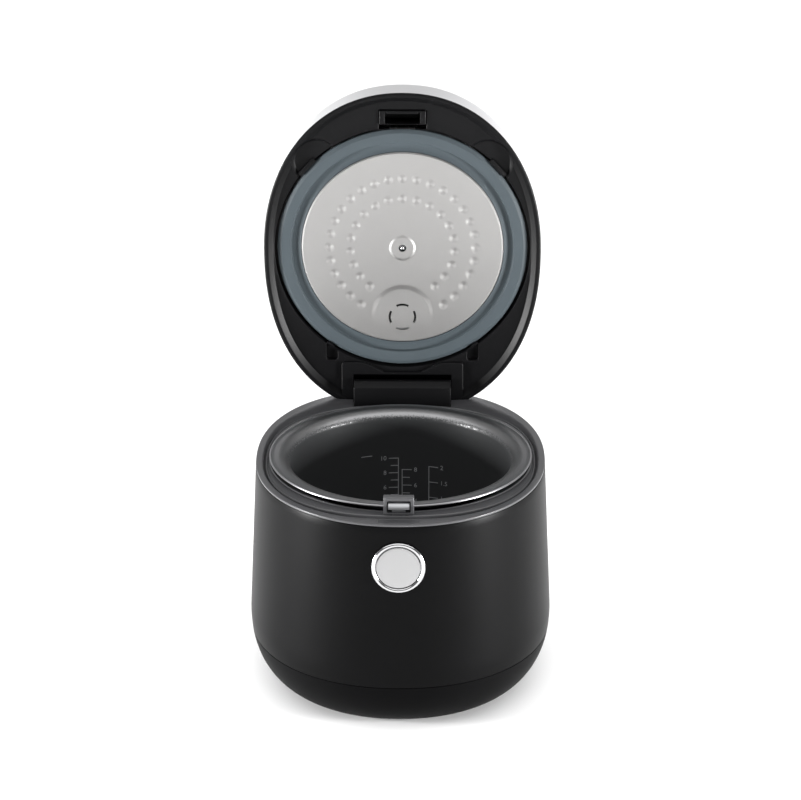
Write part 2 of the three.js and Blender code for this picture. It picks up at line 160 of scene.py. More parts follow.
def filleted(profile: Sequence[Pair], radius: float, steps: int = 3) -> list[Pair]:
    """Rounds the corners of an open profile.

    Args:
        profile: Corners in order; the two ends stay as they are.
        radius: How far each rounding reaches along its two sides.
        steps: Pieces in each rounding.

    Returns:
        The rounded profile.
    """
    spots = [np.array(p, float) for p in profile]
    out = [spots[0]]
    for before, here, after in zip(spots, spots[1:], spots[2:]):
        reach = [min(radius, np.linalg.norm(p - here) * 0.45) for p in (before, after)]
        start = here + (before - here) / max(np.linalg.norm(before - here), 1e-9) * reach[0]
        end = here + (after - here) / max(np.linalg.norm(after - here), 1e-9) * reach[1]
        for k in range(steps + 1):
            t = k / steps
            out.append((1 - t) ** 2 * start + 2 * t * (1 - t) * here + t * t * end)
    out.append(spots[-1])
    return [(float(a), float(b)) for a, b in out]


def prism(outline: Sequence[Pair], low: float, high: float) -> bpy.types.Mesh:
    """Raises a plan outline of (x, y) pairs from one height to another."""
    flat = np.array(outline, float)
    count = len(flat)
    points = np.concatenate([np.column_stack([flat, np.full(count, h)]) for h in (low, high)])
    sides = [(i, (i + 1) % count, count + (i + 1) % count, count + i) for i in range(count)]
    return solid(points, [tuple(range(count))[::-1], tuple(range(count, 2 * count)), *sides])


def along_x(outline: Sequence[Pair], low: float, high: float) -> bpy.types.Mesh:
    """Draws a side outline of (y, z) pairs out along X."""
    mesh = prism(outline, low, high)
    mesh.transform(Matrix(((0, 0, 1, 0), (1, 0, 0, 0), (0, 1, 0, 0), (0, 0, 0, 1))))
    return mesh


def rounded_plan(low: Pair, high: Pair, corner: float, steps: int = 5) -> list[Pair]:
    """A rectangle's plan with rounded corners, from its lowest and highest corners."""
    out = []
    for k, (x, y) in enumerate([(high[0], high[1]), (low[0], high[1]), low, (high[0], low[1])]):
        inward = (-1 if x == high[0] else 1, -1 if y == high[1] else 1)
        for s in range(steps + 1):
            angle = math.radians(90 * k + 90 * s / steps)
            out.append((
                x + corner * (inward[0] + math.cos(angle)),
                y + corner * (inward[1] + math.sin(angle)),
            ))
    return out


def pocket(low: Pair, high: Pair, corner: float, mouth: float, floor: float, flare: float,
           foot: float = 0.0) -> bpy.types.Mesh:
    """A cutter for a rounded pocket with eased edges.

    Args:
        low: Lowest plan corner at the walls.
        high: Highest plan corner at the walls.
        corner: Plan corner radius.
        mouth: Height of the surface that it is cut in.
        floor: Height of the pocket's floor.
        flare: How far the mouth's edge is eased outwards.
        foot: How far the walls draw in at the floor.

    Returns:
        The cutter.
    """
    way = 1 if floor > mouth else -1
    levels = [
        (flare, mouth - way * 30), (flare, mouth), (flare * 0.4, mouth + way * flare * 0.3),
        (0, mouth + way * flare), (0, floor - way * foot), (-foot * 0.3, floor - way * foot * 0.3),
        (-foot, floor),
    ]
    rings = []
    for out, height in levels:
        plan = rounded_plan(
            (low[0] - out, low[1] - out), (high[0] + out, high[1] + out), max(0.2, corner + out)
        )
        rings.append(np.array([(x, y, height) for x, y in plan]))
    return loft(rings)


def cuboid(low: Sequence[float], high: Sequence[float], edge: float = 0.0) -> bpy.types.Mesh:
    """A box between two corners, its edges rounded by a width."""
    mesh = prism([(low[0], low[1]), (high[0], low[1]), (high[0], high[1]), (low[0], high[1])],
                 low[2], high[2])
    return eased(mesh, edge) if edge else mesh


def merged(*meshes: bpy.types.Mesh) -> bpy.types.Mesh:
    """Puts separate closed bodies into one mesh."""
    work = bmesh.new()
    for mesh in meshes:
        work.from_mesh(mesh)
    out = bpy.data.meshes.new("drawing")
    work.to_mesh(out)
    work.free()
    return out


def with_modifiers(mesh: bpy.types.Mesh, steps: Sequence[tuple[str, dict[str, Any]]]) -> bpy.types.Mesh:
    """Runs modifiers on a mesh and returns the plain result.

    Args:
        mesh: What they work on.
        steps: Each modifier's kind, and its settings.

    Returns:
        A new mesh.
    """
    carrier = bpy.data.objects.new("carrier", mesh)
    bpy.context.scene.collection.objects.link(carrier)
    for kind, settings in steps:
        modifier = carrier.modifiers.new(kind.lower(), kind)
        for key, value in settings.items():
            if isinstance(modifier, bpy.types.NodesModifier) and key != "node_group":
                modifier[socket_key(modifier.node_group, key)] = value
            else:
                setattr(modifier, key, value)
    graph = bpy.context.evaluated_depsgraph_get()
    out = bpy.data.meshes.new_from_object(carrier.evaluated_get(graph), depsgraph=graph)
    bpy.data.objects.remove(carrier)
    return out


def eased(mesh: bpy.types.Mesh, width: float, segments: int = 3, angle: float = 35) -> bpy.types.Mesh:
    """Rounds a mesh's sharp edges by a width."""
    return with_modifiers(mesh, [("BEVEL", {
        "width": width, "segments": segments, "limit_method": "ANGLE",
        "angle_limit": math.radians(angle),
    })])


def combined(mesh: bpy.types.Mesh, others: Sequence[bpy.types.Mesh], way: str) -> bpy.types.Mesh:
    """Cuts, joins or intersects a mesh with others, one after another."""
    tools = []
    for other in others:
        tool = bpy.data.objects.new("tool", other)
        bpy.context.scene.collection.objects.link(tool)
        tools.append(tool)
    steps = [("BOOLEAN", {"operation": way, "solver": "EXACT", "object": t}) for t in tools]
    out = with_modifiers(mesh, steps)
    for tool in tools:
        bpy.data.objects.remove(tool)
    return out


def cut(mesh: bpy.types.Mesh, *tools: bpy.types.Mesh) -> bpy.types.Mesh:
    """Takes tools away from a mesh."""
    return combined(mesh, tools, "DIFFERENCE")


def joined(mesh: bpy.types.Mesh, *others: bpy.types.Mesh) -> bpy.types.Mesh:
    """Makes one closed body of overlapping meshes."""
    return combined(mesh, others, "UNION")


def kept_inside(mesh: bpy.types.Mesh, region: bpy.types.Mesh) -> bpy.types.Mesh:
    """Keeps what lies inside a region."""
    return combined(mesh, [region], "INTERSECT")


def moved(mesh: bpy.types.Mesh, x: float = 0, y: float = 0, z: float = 0, turn: float = 0) -> bpy.types.Mesh:
    """Turns a mesh about Z by degrees, then shifts it."""
    mesh.transform(Matrix.Translation((x, y, z)) @ Matrix.Rotation(math.radians(turn), 4, "Z"))
    return mesh


@dataclass(frozen=True)
class Outline:
    """A plan outline of superellipse quadrants."""

    half: float
    front: float
    rear: float
    front_power: float = 2.13
    rear_power: float = 2.25

    def ring(self, inset: float, height: float) -> Ring:
        """The outline drawn in by an inset, at a height."""
        angle = np.arange(SIDES) * 2 * np.pi / SIDES
        c, s = np.cos(angle), np.sin(angle)
        power = np.where(s < 0, self.front_power, self.rear_power)
        depth = np.where(s < 0, self.front, self.rear) - inset
        x = (self.half - inset) * np.sign(c) * np.abs(c) ** (2 / power)
        y = depth * np.sign(s) * np.abs(s) ** (2 / power)
        return np.stack([x, y, np.full(SIDES, height)], 1)

    def toward(self, other: "Outline", share: float) -> "Outline":
        """The outline part of the way to another."""
        keys = ("half", "front", "rear")
        sizes = [getattr(self, k) + (getattr(other, k) - getattr(self, k)) * share for k in keys]
        return Outline(*sizes, self.front_power, self.rear_power)


# ---------- finishes ----------


def linear(code: str) -> tuple[float, float, float, float]:
    """Turns an sRGB hex colour into the linear colour that a socket takes."""
    values = [int(code[i:i + 2], 16) / 255 for i in (1, 3, 5)]
    red, green, blue = [v / 12.92 if v <= 0.04045 else ((v + 0.055) / 1.055) ** 2.4 for v in values]
    return red, green, blue, 1.0


def add(tree: bpy.types.NodeTree, kind: str, settings: Optional[dict[Key, Any]] = None,
        links: Optional[dict[Key, bpy.types.NodeSocket]] = None) -> bpy.types.Node:
    """Adds a node.

    Args:
        tree: The tree that takes it.
        kind: The node's type name.
        settings: Properties by name, and input values by name or number.
        links: What feeds each input, by name or number.

    Returns:
        The node.
    """
    made = tree.nodes.new(kind)
    for key, value in (settings or {}).items():
        if isinstance(key, str) and hasattr(made, key):
            setattr(made, key, value)
        else:
            made.inputs[key].default_value = value
    for key, source in (links or {}).items():
        tree.links.new(source, made.inputs[key])
    return made


def per(size: float) -> float:
    """The noise scale whose marks are about a size in millimetres."""
    return 1 / (size * MM)


@dataclass(frozen=True)
class Finish:
    """A surface whose colour and gloss wander slowly over a fine grain."""

    name: str
    colour: str
    drift: str  # colour at the other end of the slow variation
    roughness: float
    swing: float = 0.04  # how far the roughness wanders
    metallic: float = 0.0
    ior: Optional[float] = 1.5  # None leaves a metal's own
    specular: float = 0.5
    patch: float = 40.0  # size of the slow variation, mm
    grain: float = 0.8  # size of the grain, mm
    depth: float = 0.004  # height of the grain, mm
    along: tuple[float, float, float] = (1.0, 1.0, 1.0)  # a small value draws the grain out that way
    coat: float = 0.0

    def shader(self, tree: bpy.types.NodeTree) -> bpy.types.Node:
        """Draws the surface in a tree and returns its Principled node."""
        place = add(tree, "ShaderNodeTexCoord").outputs["Object"]
        stretched = add(tree, "ShaderNodeMapping", {"Scale": self.along}, {"Vector": place})
        slow = add(tree, "ShaderNodeTexNoise", {"Scale": per(self.patch), "Detail": 3.0},
                   {"Vector": place})
        fine = add(tree, "ShaderNodeTexNoise", {"Scale": per(self.grain), "Detail": 2.0},
                   {"Vector": stretched.outputs[0]})
        tint = add(tree, "ShaderNodeMix", {
            "data_type": "RGBA", 6: linear(self.colour), 7: linear(self.drift),
        }, {0: slow.outputs["Fac"]})
        gloss = add(tree, "ShaderNodeMapRange", {
            "To Min": self.roughness - self.swing, "To Max": self.roughness + self.swing,
        }, {"Value": fine.outputs["Fac"]})
        relief = add(tree, "ShaderNodeBump", {"Strength": 1.0, "Distance": self.depth * MM},
                     {"Height": fine.outputs["Fac"]})
        settings = {
            "Metallic": self.metallic, "Specular IOR Level": self.specular,
            "Coat Weight": self.coat, "Coat Roughness": 0.08,
        }
        if self.ior is not None:
            settings["IOR"] = self.ior
        return add(tree, "ShaderNodeBsdfPrincipled", settings, {
            "Base Color": tint.outputs[2], "Roughness": gloss.outputs[0],
            "Normal": relief.outputs[0],
        })

    def material(self) -> bpy.types.Material:
        """The finish as a material, made once."""
        found = bpy.data.materials.get(self.name)
        if found:
            return found
        made = bpy.data.materials.new(self.name)
        made.use_nodes = True
        made.node_tree.nodes.clear()
        surface = self.shader(made.node_tree)
        add(made.node_tree, "ShaderNodeOutputMaterial", links={"Surface": surface.outputs[0]})
        return made


@dataclass(frozen=True)
class NonStickFinish(Finish):
    """Blasted aluminium that passes through a sprayed speckle into a black non-stick coat."""

    coat_colour: str = "#393a3b"
    top: float = 207.5  # where the coat begins to thin out, mm above the ground
    bottom: float = 200.5  # where it is whole
    speckle: float = 1.3  # size of the spray's specks, mm

    def shader(self, tree: bpy.types.NodeTree) -> bpy.types.Node:
        """Draws metal and coat, mixed by height and specks."""
        metal = Finish.shader(self, tree)
        place = add(tree, "ShaderNodeTexCoord").outputs["Object"]
        split = add(tree, "ShaderNodeSeparateXYZ", links={0: place})
        fall = add(tree, "ShaderNodeMapRange", {
            "From Min": self.top * MM, "From Max": self.bottom * MM, "To Min": 0.0, "To Max": 1.0,
        }, {"Value": split.outputs["Z"]})
        specks = add(tree, "ShaderNodeTexNoise", {"Scale": per(self.speckle), "Detail": 1.0},
                     {"Vector": place})
        total = add(tree, "ShaderNodeMath", {"operation": "ADD"},
                    {0: fall.outputs[0], 1: specks.outputs["Fac"]})
        share = add(tree, "ShaderNodeMapRange", {"From Min": 0.72, "From Max": 1.12},
                    {"Value": total.outputs[0]})
        coat = add(tree, "ShaderNodeBsdfPrincipled", {
            "Base Color": linear(self.coat_colour), "Roughness": 0.42, "Specular IOR Level": 0.35,
        })
        return add(tree, "ShaderNodeMixShader", links={
            0: share.outputs[0], 1: metal.outputs[0], 2: coat.outputs[0],
        })


class Surface(Enum):
    """The finishes on the cooker."""

    # Matte black ABS, spark-eroded tool: soft wide sheen, almost no grain to see.
    CASING = Finish("matte_black_moulded_abs", "#050505", "#070708", 0.38, specular=0.062, grain=0.7)
    # The same plastic from a coarser tool, a little greyer and duller.
    BASE = Finish("textured_black_moulded_abs", "#050505", "#070708", 0.46, specular=0.035, grain=1.0,
                  depth=0.01)
    # Dark grey polypropylene with a satin tool finish.
    DECK = Finish("satin_grey_moulded_polypropylene", "#3d3d3f", "#444446", 0.3, specular=0.6, grain=0.8)
    # Black polypropylene, smoother than the casing: crisp thin highlights on its edges.
    FRAME = Finish("satin_black_moulded_polypropylene", "#09090a", "#0c0c0d", 0.4, specular=0.11,
                   grain=0.8)
    # Silver metallic paint under a satin lacquer.
    SILVER = Finish("silver_painted_abs", "#c4c4c6", "#cacacb", 0.36, metallic=0.35, specular=0.5,
                    grain=0.5, depth=0.001, patch=90)
    # Blue-grey platinum-cured silicone: even, soft, slightly powdery.
    SILICONE = Finish("blue_grey_moulded_silicone", "#383f43", "#3d4448", 0.55, specular=0.16,
                      grain=1.2, depth=0.006)
    # Rolled aluminium sheet, satin anodised: wide even reflection, faint rolling grain across.
    PLATE = Finish("satin_anodised_aluminium", "#9f9e9d", "#a4a3a2", 0.5, metallic=1.0, ior=None,
                   grain=0.6, depth=0.0015, along=(0.08, 1.0, 1.0), patch=60)
    # Spun aluminium: fine lines round the pot, clear bright bands.
    SPUN = Finish("spun_aluminium", "#8b8b8d", "#939395", 0.34, metallic=1.0, ior=None,
                  grain=0.5, depth=0.002, along=(1.0, 1.0, 8.0))
    POT_INSIDE = NonStickFinish("blasted_aluminium_into_non_stick", "#8c8c8d", "#9a9a9b", 0.34,
                                metallic=1.0, ior=None, grain=1.1, depth=0.06)
    # Chromium over nickel: mirror, very slightly cool.
    CHROME = Finish("chromium_plate", "#c9c9cb", "#cdcdce", 0.09, swing=0.02, metallic=1.0,
                    ior=None, grain=2.0, depth=0.0005)
    # Aluminium cap, brushed across.
    BUTTON = Finish("brushed_aluminium", "#aaaaaa", "#afafb0", 0.4, metallic=1.0, ior=None,
                    grain=0.5, depth=0.0015, along=(0.05, 1.0, 1.0))
    STEEL = Finish("stamped_spring_steel", "#a9aaac", "#b7b8ba", 0.3, metallic=1.0, ior=None,
                   grain=0.6, depth=0.003, along=(0.2, 1.0, 1.0))
    GALVANISED = Finish("galvanised_sheet_steel", "#8f9295", "#a3a6a9", 0.42, metallic=1.0,
                        ior=None, patch=9, grain=2.0, depth=0.004)
    ALUMINIUM = Finish("cast_aluminium", "#a9aaab", "#b6b7b8", 0.42, metallic=1.0, ior=None,
                       grain=1.4, depth=0.02)
    BRASS = Finish("turned_brass", "#b08d4f", "#bc9a5c", 0.25, metallic=1.0, ior=None, grain=0.7)
    RUBBER = Finish("moulded_black_rubber", "#1b1b1b", "#232323", 0.75, specular=0.3, grain=1.0,
                    depth=0.02)
    DARK = Finish("glass_filled_black_nylon", "#19191a", "#222223", 0.5, grain=1.0, depth=0.01)
    BOARD = Finish("green_solder_mask", "#1f5a34", "#256a3e", 0.35, patch=6, grain=0.9)
    GLOSS = Finish("polished_black_acrylic", "#060607", "#08080a", 0.08, swing=0.02, grain=3.0,
                   depth=0.0005, coat=0.4)
    MARKING = Finish("pad_printed_grey_ink", "#9b9c9e", "#a5a6a8", 0.6, grain=0.7)

    def material(self) -> bpy.types.Material:
        """The finish as a material."""
        return self.value.material()


# ---------- node trees that shape meshes ----------


def socket_key(tree: bpy.types.NodeTree, name: str) -> str:
    """The identifier of a tree's input, from its name."""
    for item in tree.interface.items_tree:
        if item.item_type == "SOCKET" and item.in_out == "INPUT" and item.name == name:
            return item.identifier
    raise KeyError(name)


def shape_tree(name: str, inputs: Sequence[tuple[str, str]]) -> tuple[bpy.types.NodeTree, bpy.types.Node]:
    """Starts a geometry tree.

    Args:
        name: The tree's name.
        inputs: Name and socket kind of each input after the geometry.

    Returns:
        The tree and its input node.
    """
    tree = bpy.data.node_groups.new(name, "GeometryNodeTree")
    tree.interface.new_socket("Geometry", in_out="OUTPUT", socket_type="NodeSocketGeometry")
    tree.interface.new_socket("Geometry", in_out="INPUT", socket_type="NodeSocketGeometry")
    for label, kind in inputs:
        tree.interface.new_socket(label, in_out="INPUT", socket_type=kind)
    return tree, add(tree, "NodeGroupInput")


def shape_end(tree: bpy.types.NodeTree, source: bpy.types.Node, result: bpy.types.NodeSocket) -> None:
    """Ends a geometry tree with real meshes that carry its material."""
    plain = add(tree, "GeometryNodeRealizeInstances", links={0: result})
    dressed = add(tree, "GeometryNodeSetMaterial",
                  links={0: plain.outputs[0], "Material": source.outputs["Material"]})
    add(tree, "NodeGroupOutput", links={0: dressed.outputs[0]})


def maths(tree: bpy.types.NodeTree, operation: str,
          *values: Union[float, bpy.types.NodeSocket]) -> bpy.types.NodeSocket:
    """Adds a sum to a tree and returns its result."""
    made = add(tree, "ShaderNodeMath", {"operation": operation})
    for k, value in enumerate(values):
        if isinstance(value, (int, float)):
            made.inputs[k].default_value = value
        else:
            tree.links.new(value, made.inputs[k])
    return made.outputs[0]


def spread_angle(tree: bpy.types.NodeTree, source: bpy.types.Node) -> bpy.types.NodeSocket:
    """The angle of each point in a row centred on zero, from Count and Pitch in degrees."""
    index = add(tree, "GeometryNodeInputIndex").outputs[0]
    last = maths(tree, "SUBTRACT", source.outputs["Count"], 1.0)
    place = maths(tree, "SUBTRACT", index, maths(tree, "MULTIPLY", last, 0.5))
    return maths(tree, "RADIANS", maths(tree, "MULTIPLY", place, source.outputs["Pitch"]))


def dimple_tree() -> bpy.types.NodeTree:
    """Presses an arc of round dimples into a sheet, centred on -Y."""
    tree, source = shape_tree("pressed_dimples", [
        ("Count", "NodeSocketInt"), ("Pitch", "NodeSocketFloat"), ("Radius", "NodeSocketFloat"),
        ("Width", "NodeSocketFloat"), ("Depth", "NodeSocketFloat"),
        ("Material", "NodeSocketMaterial"),
    ])
    angle = spread_angle(tree, source)
    x = maths(tree, "MULTIPLY", maths(tree, "SINE", angle), source.outputs["Radius"])
    y = maths(tree, "MULTIPLY", maths(tree, "COSINE", angle), source.outputs["Radius"])
    spot = add(tree, "ShaderNodeCombineXYZ", links={0: x, 1: maths(tree, "MULTIPLY", y, -1.0)})
    spots = add(tree, "GeometryNodePoints",
                links={"Count": source.outputs["Count"], "Position": spot.outputs[0]})
    here = add(tree, "GeometryNodeInputPosition")
    flat = add(tree, "ShaderNodeVectorMath", {"operation": "MULTIPLY", 1: (1, 1, 0)},
               {0: here.outputs[0]})
    near = add(tree, "GeometryNodeProximity", {"target_element": "POINTS"},
               {0: spots.outputs[0], "Sample Position": flat.outputs[0]})
    reach = maths(tree, "MULTIPLY", source.outputs["Width"], 0.5)
    press = add(tree, "ShaderNodeMapRange", {"interpolation_type": "SMOOTHSTEP", "To Max": 0.0}, {
        "Value": near.outputs["Distance"], "From Max": reach, "To Min": source.outputs["Depth"],
    })
    push = add(tree, "ShaderNodeCombineXYZ", links={2: press.outputs[0]})
    shaped = add(tree, "GeometryNodeSetPosition",
                 links={0: source.outputs["Geometry"], "Offset": push.outputs[0]})
    shape_end(tree, source, shaped.outputs[0])
    return tree


def ring_tree() -> bpy.types.NodeTree:
    """Repeats an item round an arc, centred on -Y and turned with it."""
    tree, source = shape_tree("arc_of_items", [
        ("Count", "NodeSocketInt"), ("Pitch", "NodeSocketFloat"), ("Start", "NodeSocketFloat"),
        ("Material", "NodeSocketMaterial"),
    ])
    angle = maths(tree, "ADD", spread_angle(tree, source),
                  maths(tree, "RADIANS", source.outputs["Start"]))
    spots = add(tree, "GeometryNodePoints", links={"Count": source.outputs["Count"]})
    turn = add(tree, "ShaderNodeCombineXYZ", links={2: angle})
    items = add(tree, "GeometryNodeInstanceOnPoints", links={
        "Points": spots.outputs[0], "Instance": source.outputs["Geometry"],
        "Rotation": turn.outputs[0],
    })
    shape_end(tree, source, items.outputs[0])
    return tree


def row_tree() -> bpy.types.NodeTree:
    """Repeats an item along a straight row, centred on the axes."""
    tree, source = shape_tree("row_of_items", [
        ("Count", "NodeSocketInt"), ("Step", "NodeSocketVector"),
        ("Material", "NodeSocketMaterial"),
    ])
    index = add(tree, "GeometryNodeInputIndex").outputs[0]
    last = maths(tree, "SUBTRACT", source.outputs["Count"], 1.0)
    place = maths(tree, "SUBTRACT", index, maths(tree, "MULTIPLY", last, 0.5))
    spot = add(tree, "ShaderNodeVectorMath", {"operation": "SCALE"},
               {0: source.outputs["Step"], "Scale": place})
    spots = add(tree, "GeometryNodePoints",
                links={"Count": source.outputs["Count"], "Position": spot.outputs[0]})
    items = add(tree, "GeometryNodeInstanceOnPoints",
                links={"Points": spots.outputs[0], "Instance": source.outputs["Geometry"]})
    shape_end(tree, source, items.outputs[0])
    return tree


def scale_tree() -> bpy.types.NodeTree:
    """Prints a graduated scale on the inside of a round wall, as thin raised ink."""
    tree, source = shape_tree("graduated_scale", [
        ("Count", "NodeSocketInt"), ("Pitch", "NodeSocketFloat"), ("Top", "NodeSocketFloat"),
        ("Side", "NodeSocketFloat"), ("Long", "NodeSocketFloat"), ("Short", "NodeSocketFloat"),
        ("Line", "NodeSocketFloat"), ("Place", "NodeSocketFloat"), ("Radius", "NodeSocketFloat"),
        ("Material", "NodeSocketMaterial"),
    ])
    out = source.outputs
    index = add(tree, "GeometryNodeInputIndex").outputs[0]
    odd = maths(tree, "MODULO", index, 2.0)
    swing = maths(tree, "SUBTRACT", out["Short"], out["Long"])
    length = maths(tree, "ADD", out["Long"], maths(tree, "MULTIPLY", odd, swing))
    half = maths(tree, "MULTIPLY", maths(tree, "MULTIPLY", length, 0.5), out["Side"])
    drop = maths(tree, "SUBTRACT", out["Top"], maths(tree, "MULTIPLY", index, out["Pitch"]))
    spot = add(tree, "ShaderNodeCombineXYZ", links={0: half, 2: drop})
    spots = add(tree, "GeometryNodePoints",
                links={"Count": out["Count"], "Position": spot.outputs[0]})
    tick_size = add(tree, "ShaderNodeCombineXYZ", {0: 1.0, 1: 0.16}, {2: out["Line"]})
    tick = add(tree, "GeometryNodeMeshCube", {"Vertices X": 4}, {"Size": tick_size.outputs[0]})
    grow = add(tree, "ShaderNodeCombineXYZ", {1: 1.0, 2: 1.0}, {0: length})
    ticks = add(tree, "GeometryNodeInstanceOnPoints", links={
        "Points": spots.outputs[0], "Instance": tick.outputs[0], "Scale": grow.outputs[0],
    })
    run = maths(tree, "MULTIPLY", maths(tree, "SUBTRACT", out["Count"], 1.0), out["Pitch"])
    tall = add(tree, "ShaderNodeCombineXYZ", {1: 0.16},
               {0: out["Line"], 2: maths(tree, "ADD", run, out["Line"])})
    stem = add(tree, "GeometryNodeMeshCube", {"Vertices Z": 2}, {"Size": tall.outputs[0]})
    centre = maths(tree, "SUBTRACT", out["Top"], maths(tree, "MULTIPLY", run, 0.5))
    lift = add(tree, "ShaderNodeCombineXYZ", links={2: centre})
    placed = add(tree, "GeometryNodeTransform",
                 links={0: stem.outputs[0], "Translation": lift.outputs[0]})
    real = add(tree, "GeometryNodeRealizeInstances", links={0: ticks.outputs[0]})
    both = add(tree, "GeometryNodeJoinGeometry", links={0: real.outputs[0]})
    tree.links.new(placed.outputs[0], both.inputs[0])
    here = add(tree, "GeometryNodeInputPosition")
    split = add(tree, "ShaderNodeSeparateXYZ", links={0: here.outputs[0]})
    angle = maths(tree, "DIVIDE", maths(tree, "ADD", split.outputs[0], out["Place"]), out["Radius"])
    radius = maths(tree, "SUBTRACT", out["Radius"], split.outputs[1])
    bent = add(tree, "ShaderNodeCombineXYZ", links={
        0: maths(tree, "MULTIPLY", radius, maths(tree, "SINE", angle)),
        1: maths(tree, "MULTIPLY", radius, maths(tree, "COSINE", angle)), 2: split.outputs[2],
    })
    wrapped = add(tree, "GeometryNodeSetPosition",
                  links={0: both.outputs[0], "Position": bent.outputs[0]})
    shape_end(tree, source, wrapped.outputs[0])
    return tree


class Tree(Enum):
    """The node trees that shape meshes, each made once."""

    DIMPLES = "pressed_dimples"
    ARC = "arc_of_items"
    ROW = "row_of_items"
    SCALE = "graduated_scale"

    def apply(self, mesh: bpy.types.Mesh, finish: Surface, **inputs: Any) -> bpy.types.Mesh:
        """Runs the tree on a mesh with its named inputs and returns the plain result."""
        makers = {
            Tree.DIMPLES: dimple_tree, Tree.ARC: ring_tree, Tree.ROW: row_tree,
            Tree.SCALE: scale_tree,
        }
        group = bpy.data.node_groups.get(self.value) or makers[self]()
        settings = {"node_group": group, **inputs, "Material": finish.material()}
        return with_modifiers(mesh, [("NODES", settings)])


# ---------- placing a piece ----------


@dataclass(frozen=True)
class Seat:
    """Where a piece belongs: its body, its material slot and the frame nodes that it stands for."""

    body: str
    slot: str
    nodes: tuple[str, ...] = ()


def dress(name: str, mesh: bpy.types.Mesh, station: Station, finish: Surface, seat: Seat,
          sharp: float = 32) -> bpy.types.Object:
    """Makes a drawn mesh into a finished piece of the cooker.

    Args:
        name: The piece's name.
        mesh: Its mesh, in millimetres on the station's axes.
        station: The axes that it was drawn on.
        finish: Its finish.
        seat: Its body and replaced nodes; its slot is not used.
        sharp: Edges that turn by more than this many degrees stay crisp.

    Returns:
        The piece.
    """
    mesh.transform(station.matrix())
    mesh.materials.clear()
    mesh.materials.append(finish.material())
    for face in mesh.polygons:
        face.material_index = 0
    mesh.shade_smooth()
    mesh.set_sharp_from_angle(angle=math.radians(sharp))
    piece = bpy.data.objects.new(name, mesh)
    mesh.name = name
    bpy.context.scene.collection.objects.link(piece)
    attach(piece, seat.body)
    if seat.nodes:
        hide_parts(*seat.nodes)
    LOG.info("%s: %d faces on %s", name, len(mesh.polygons), seat.body)
    return piece


# ---------- the body ----------


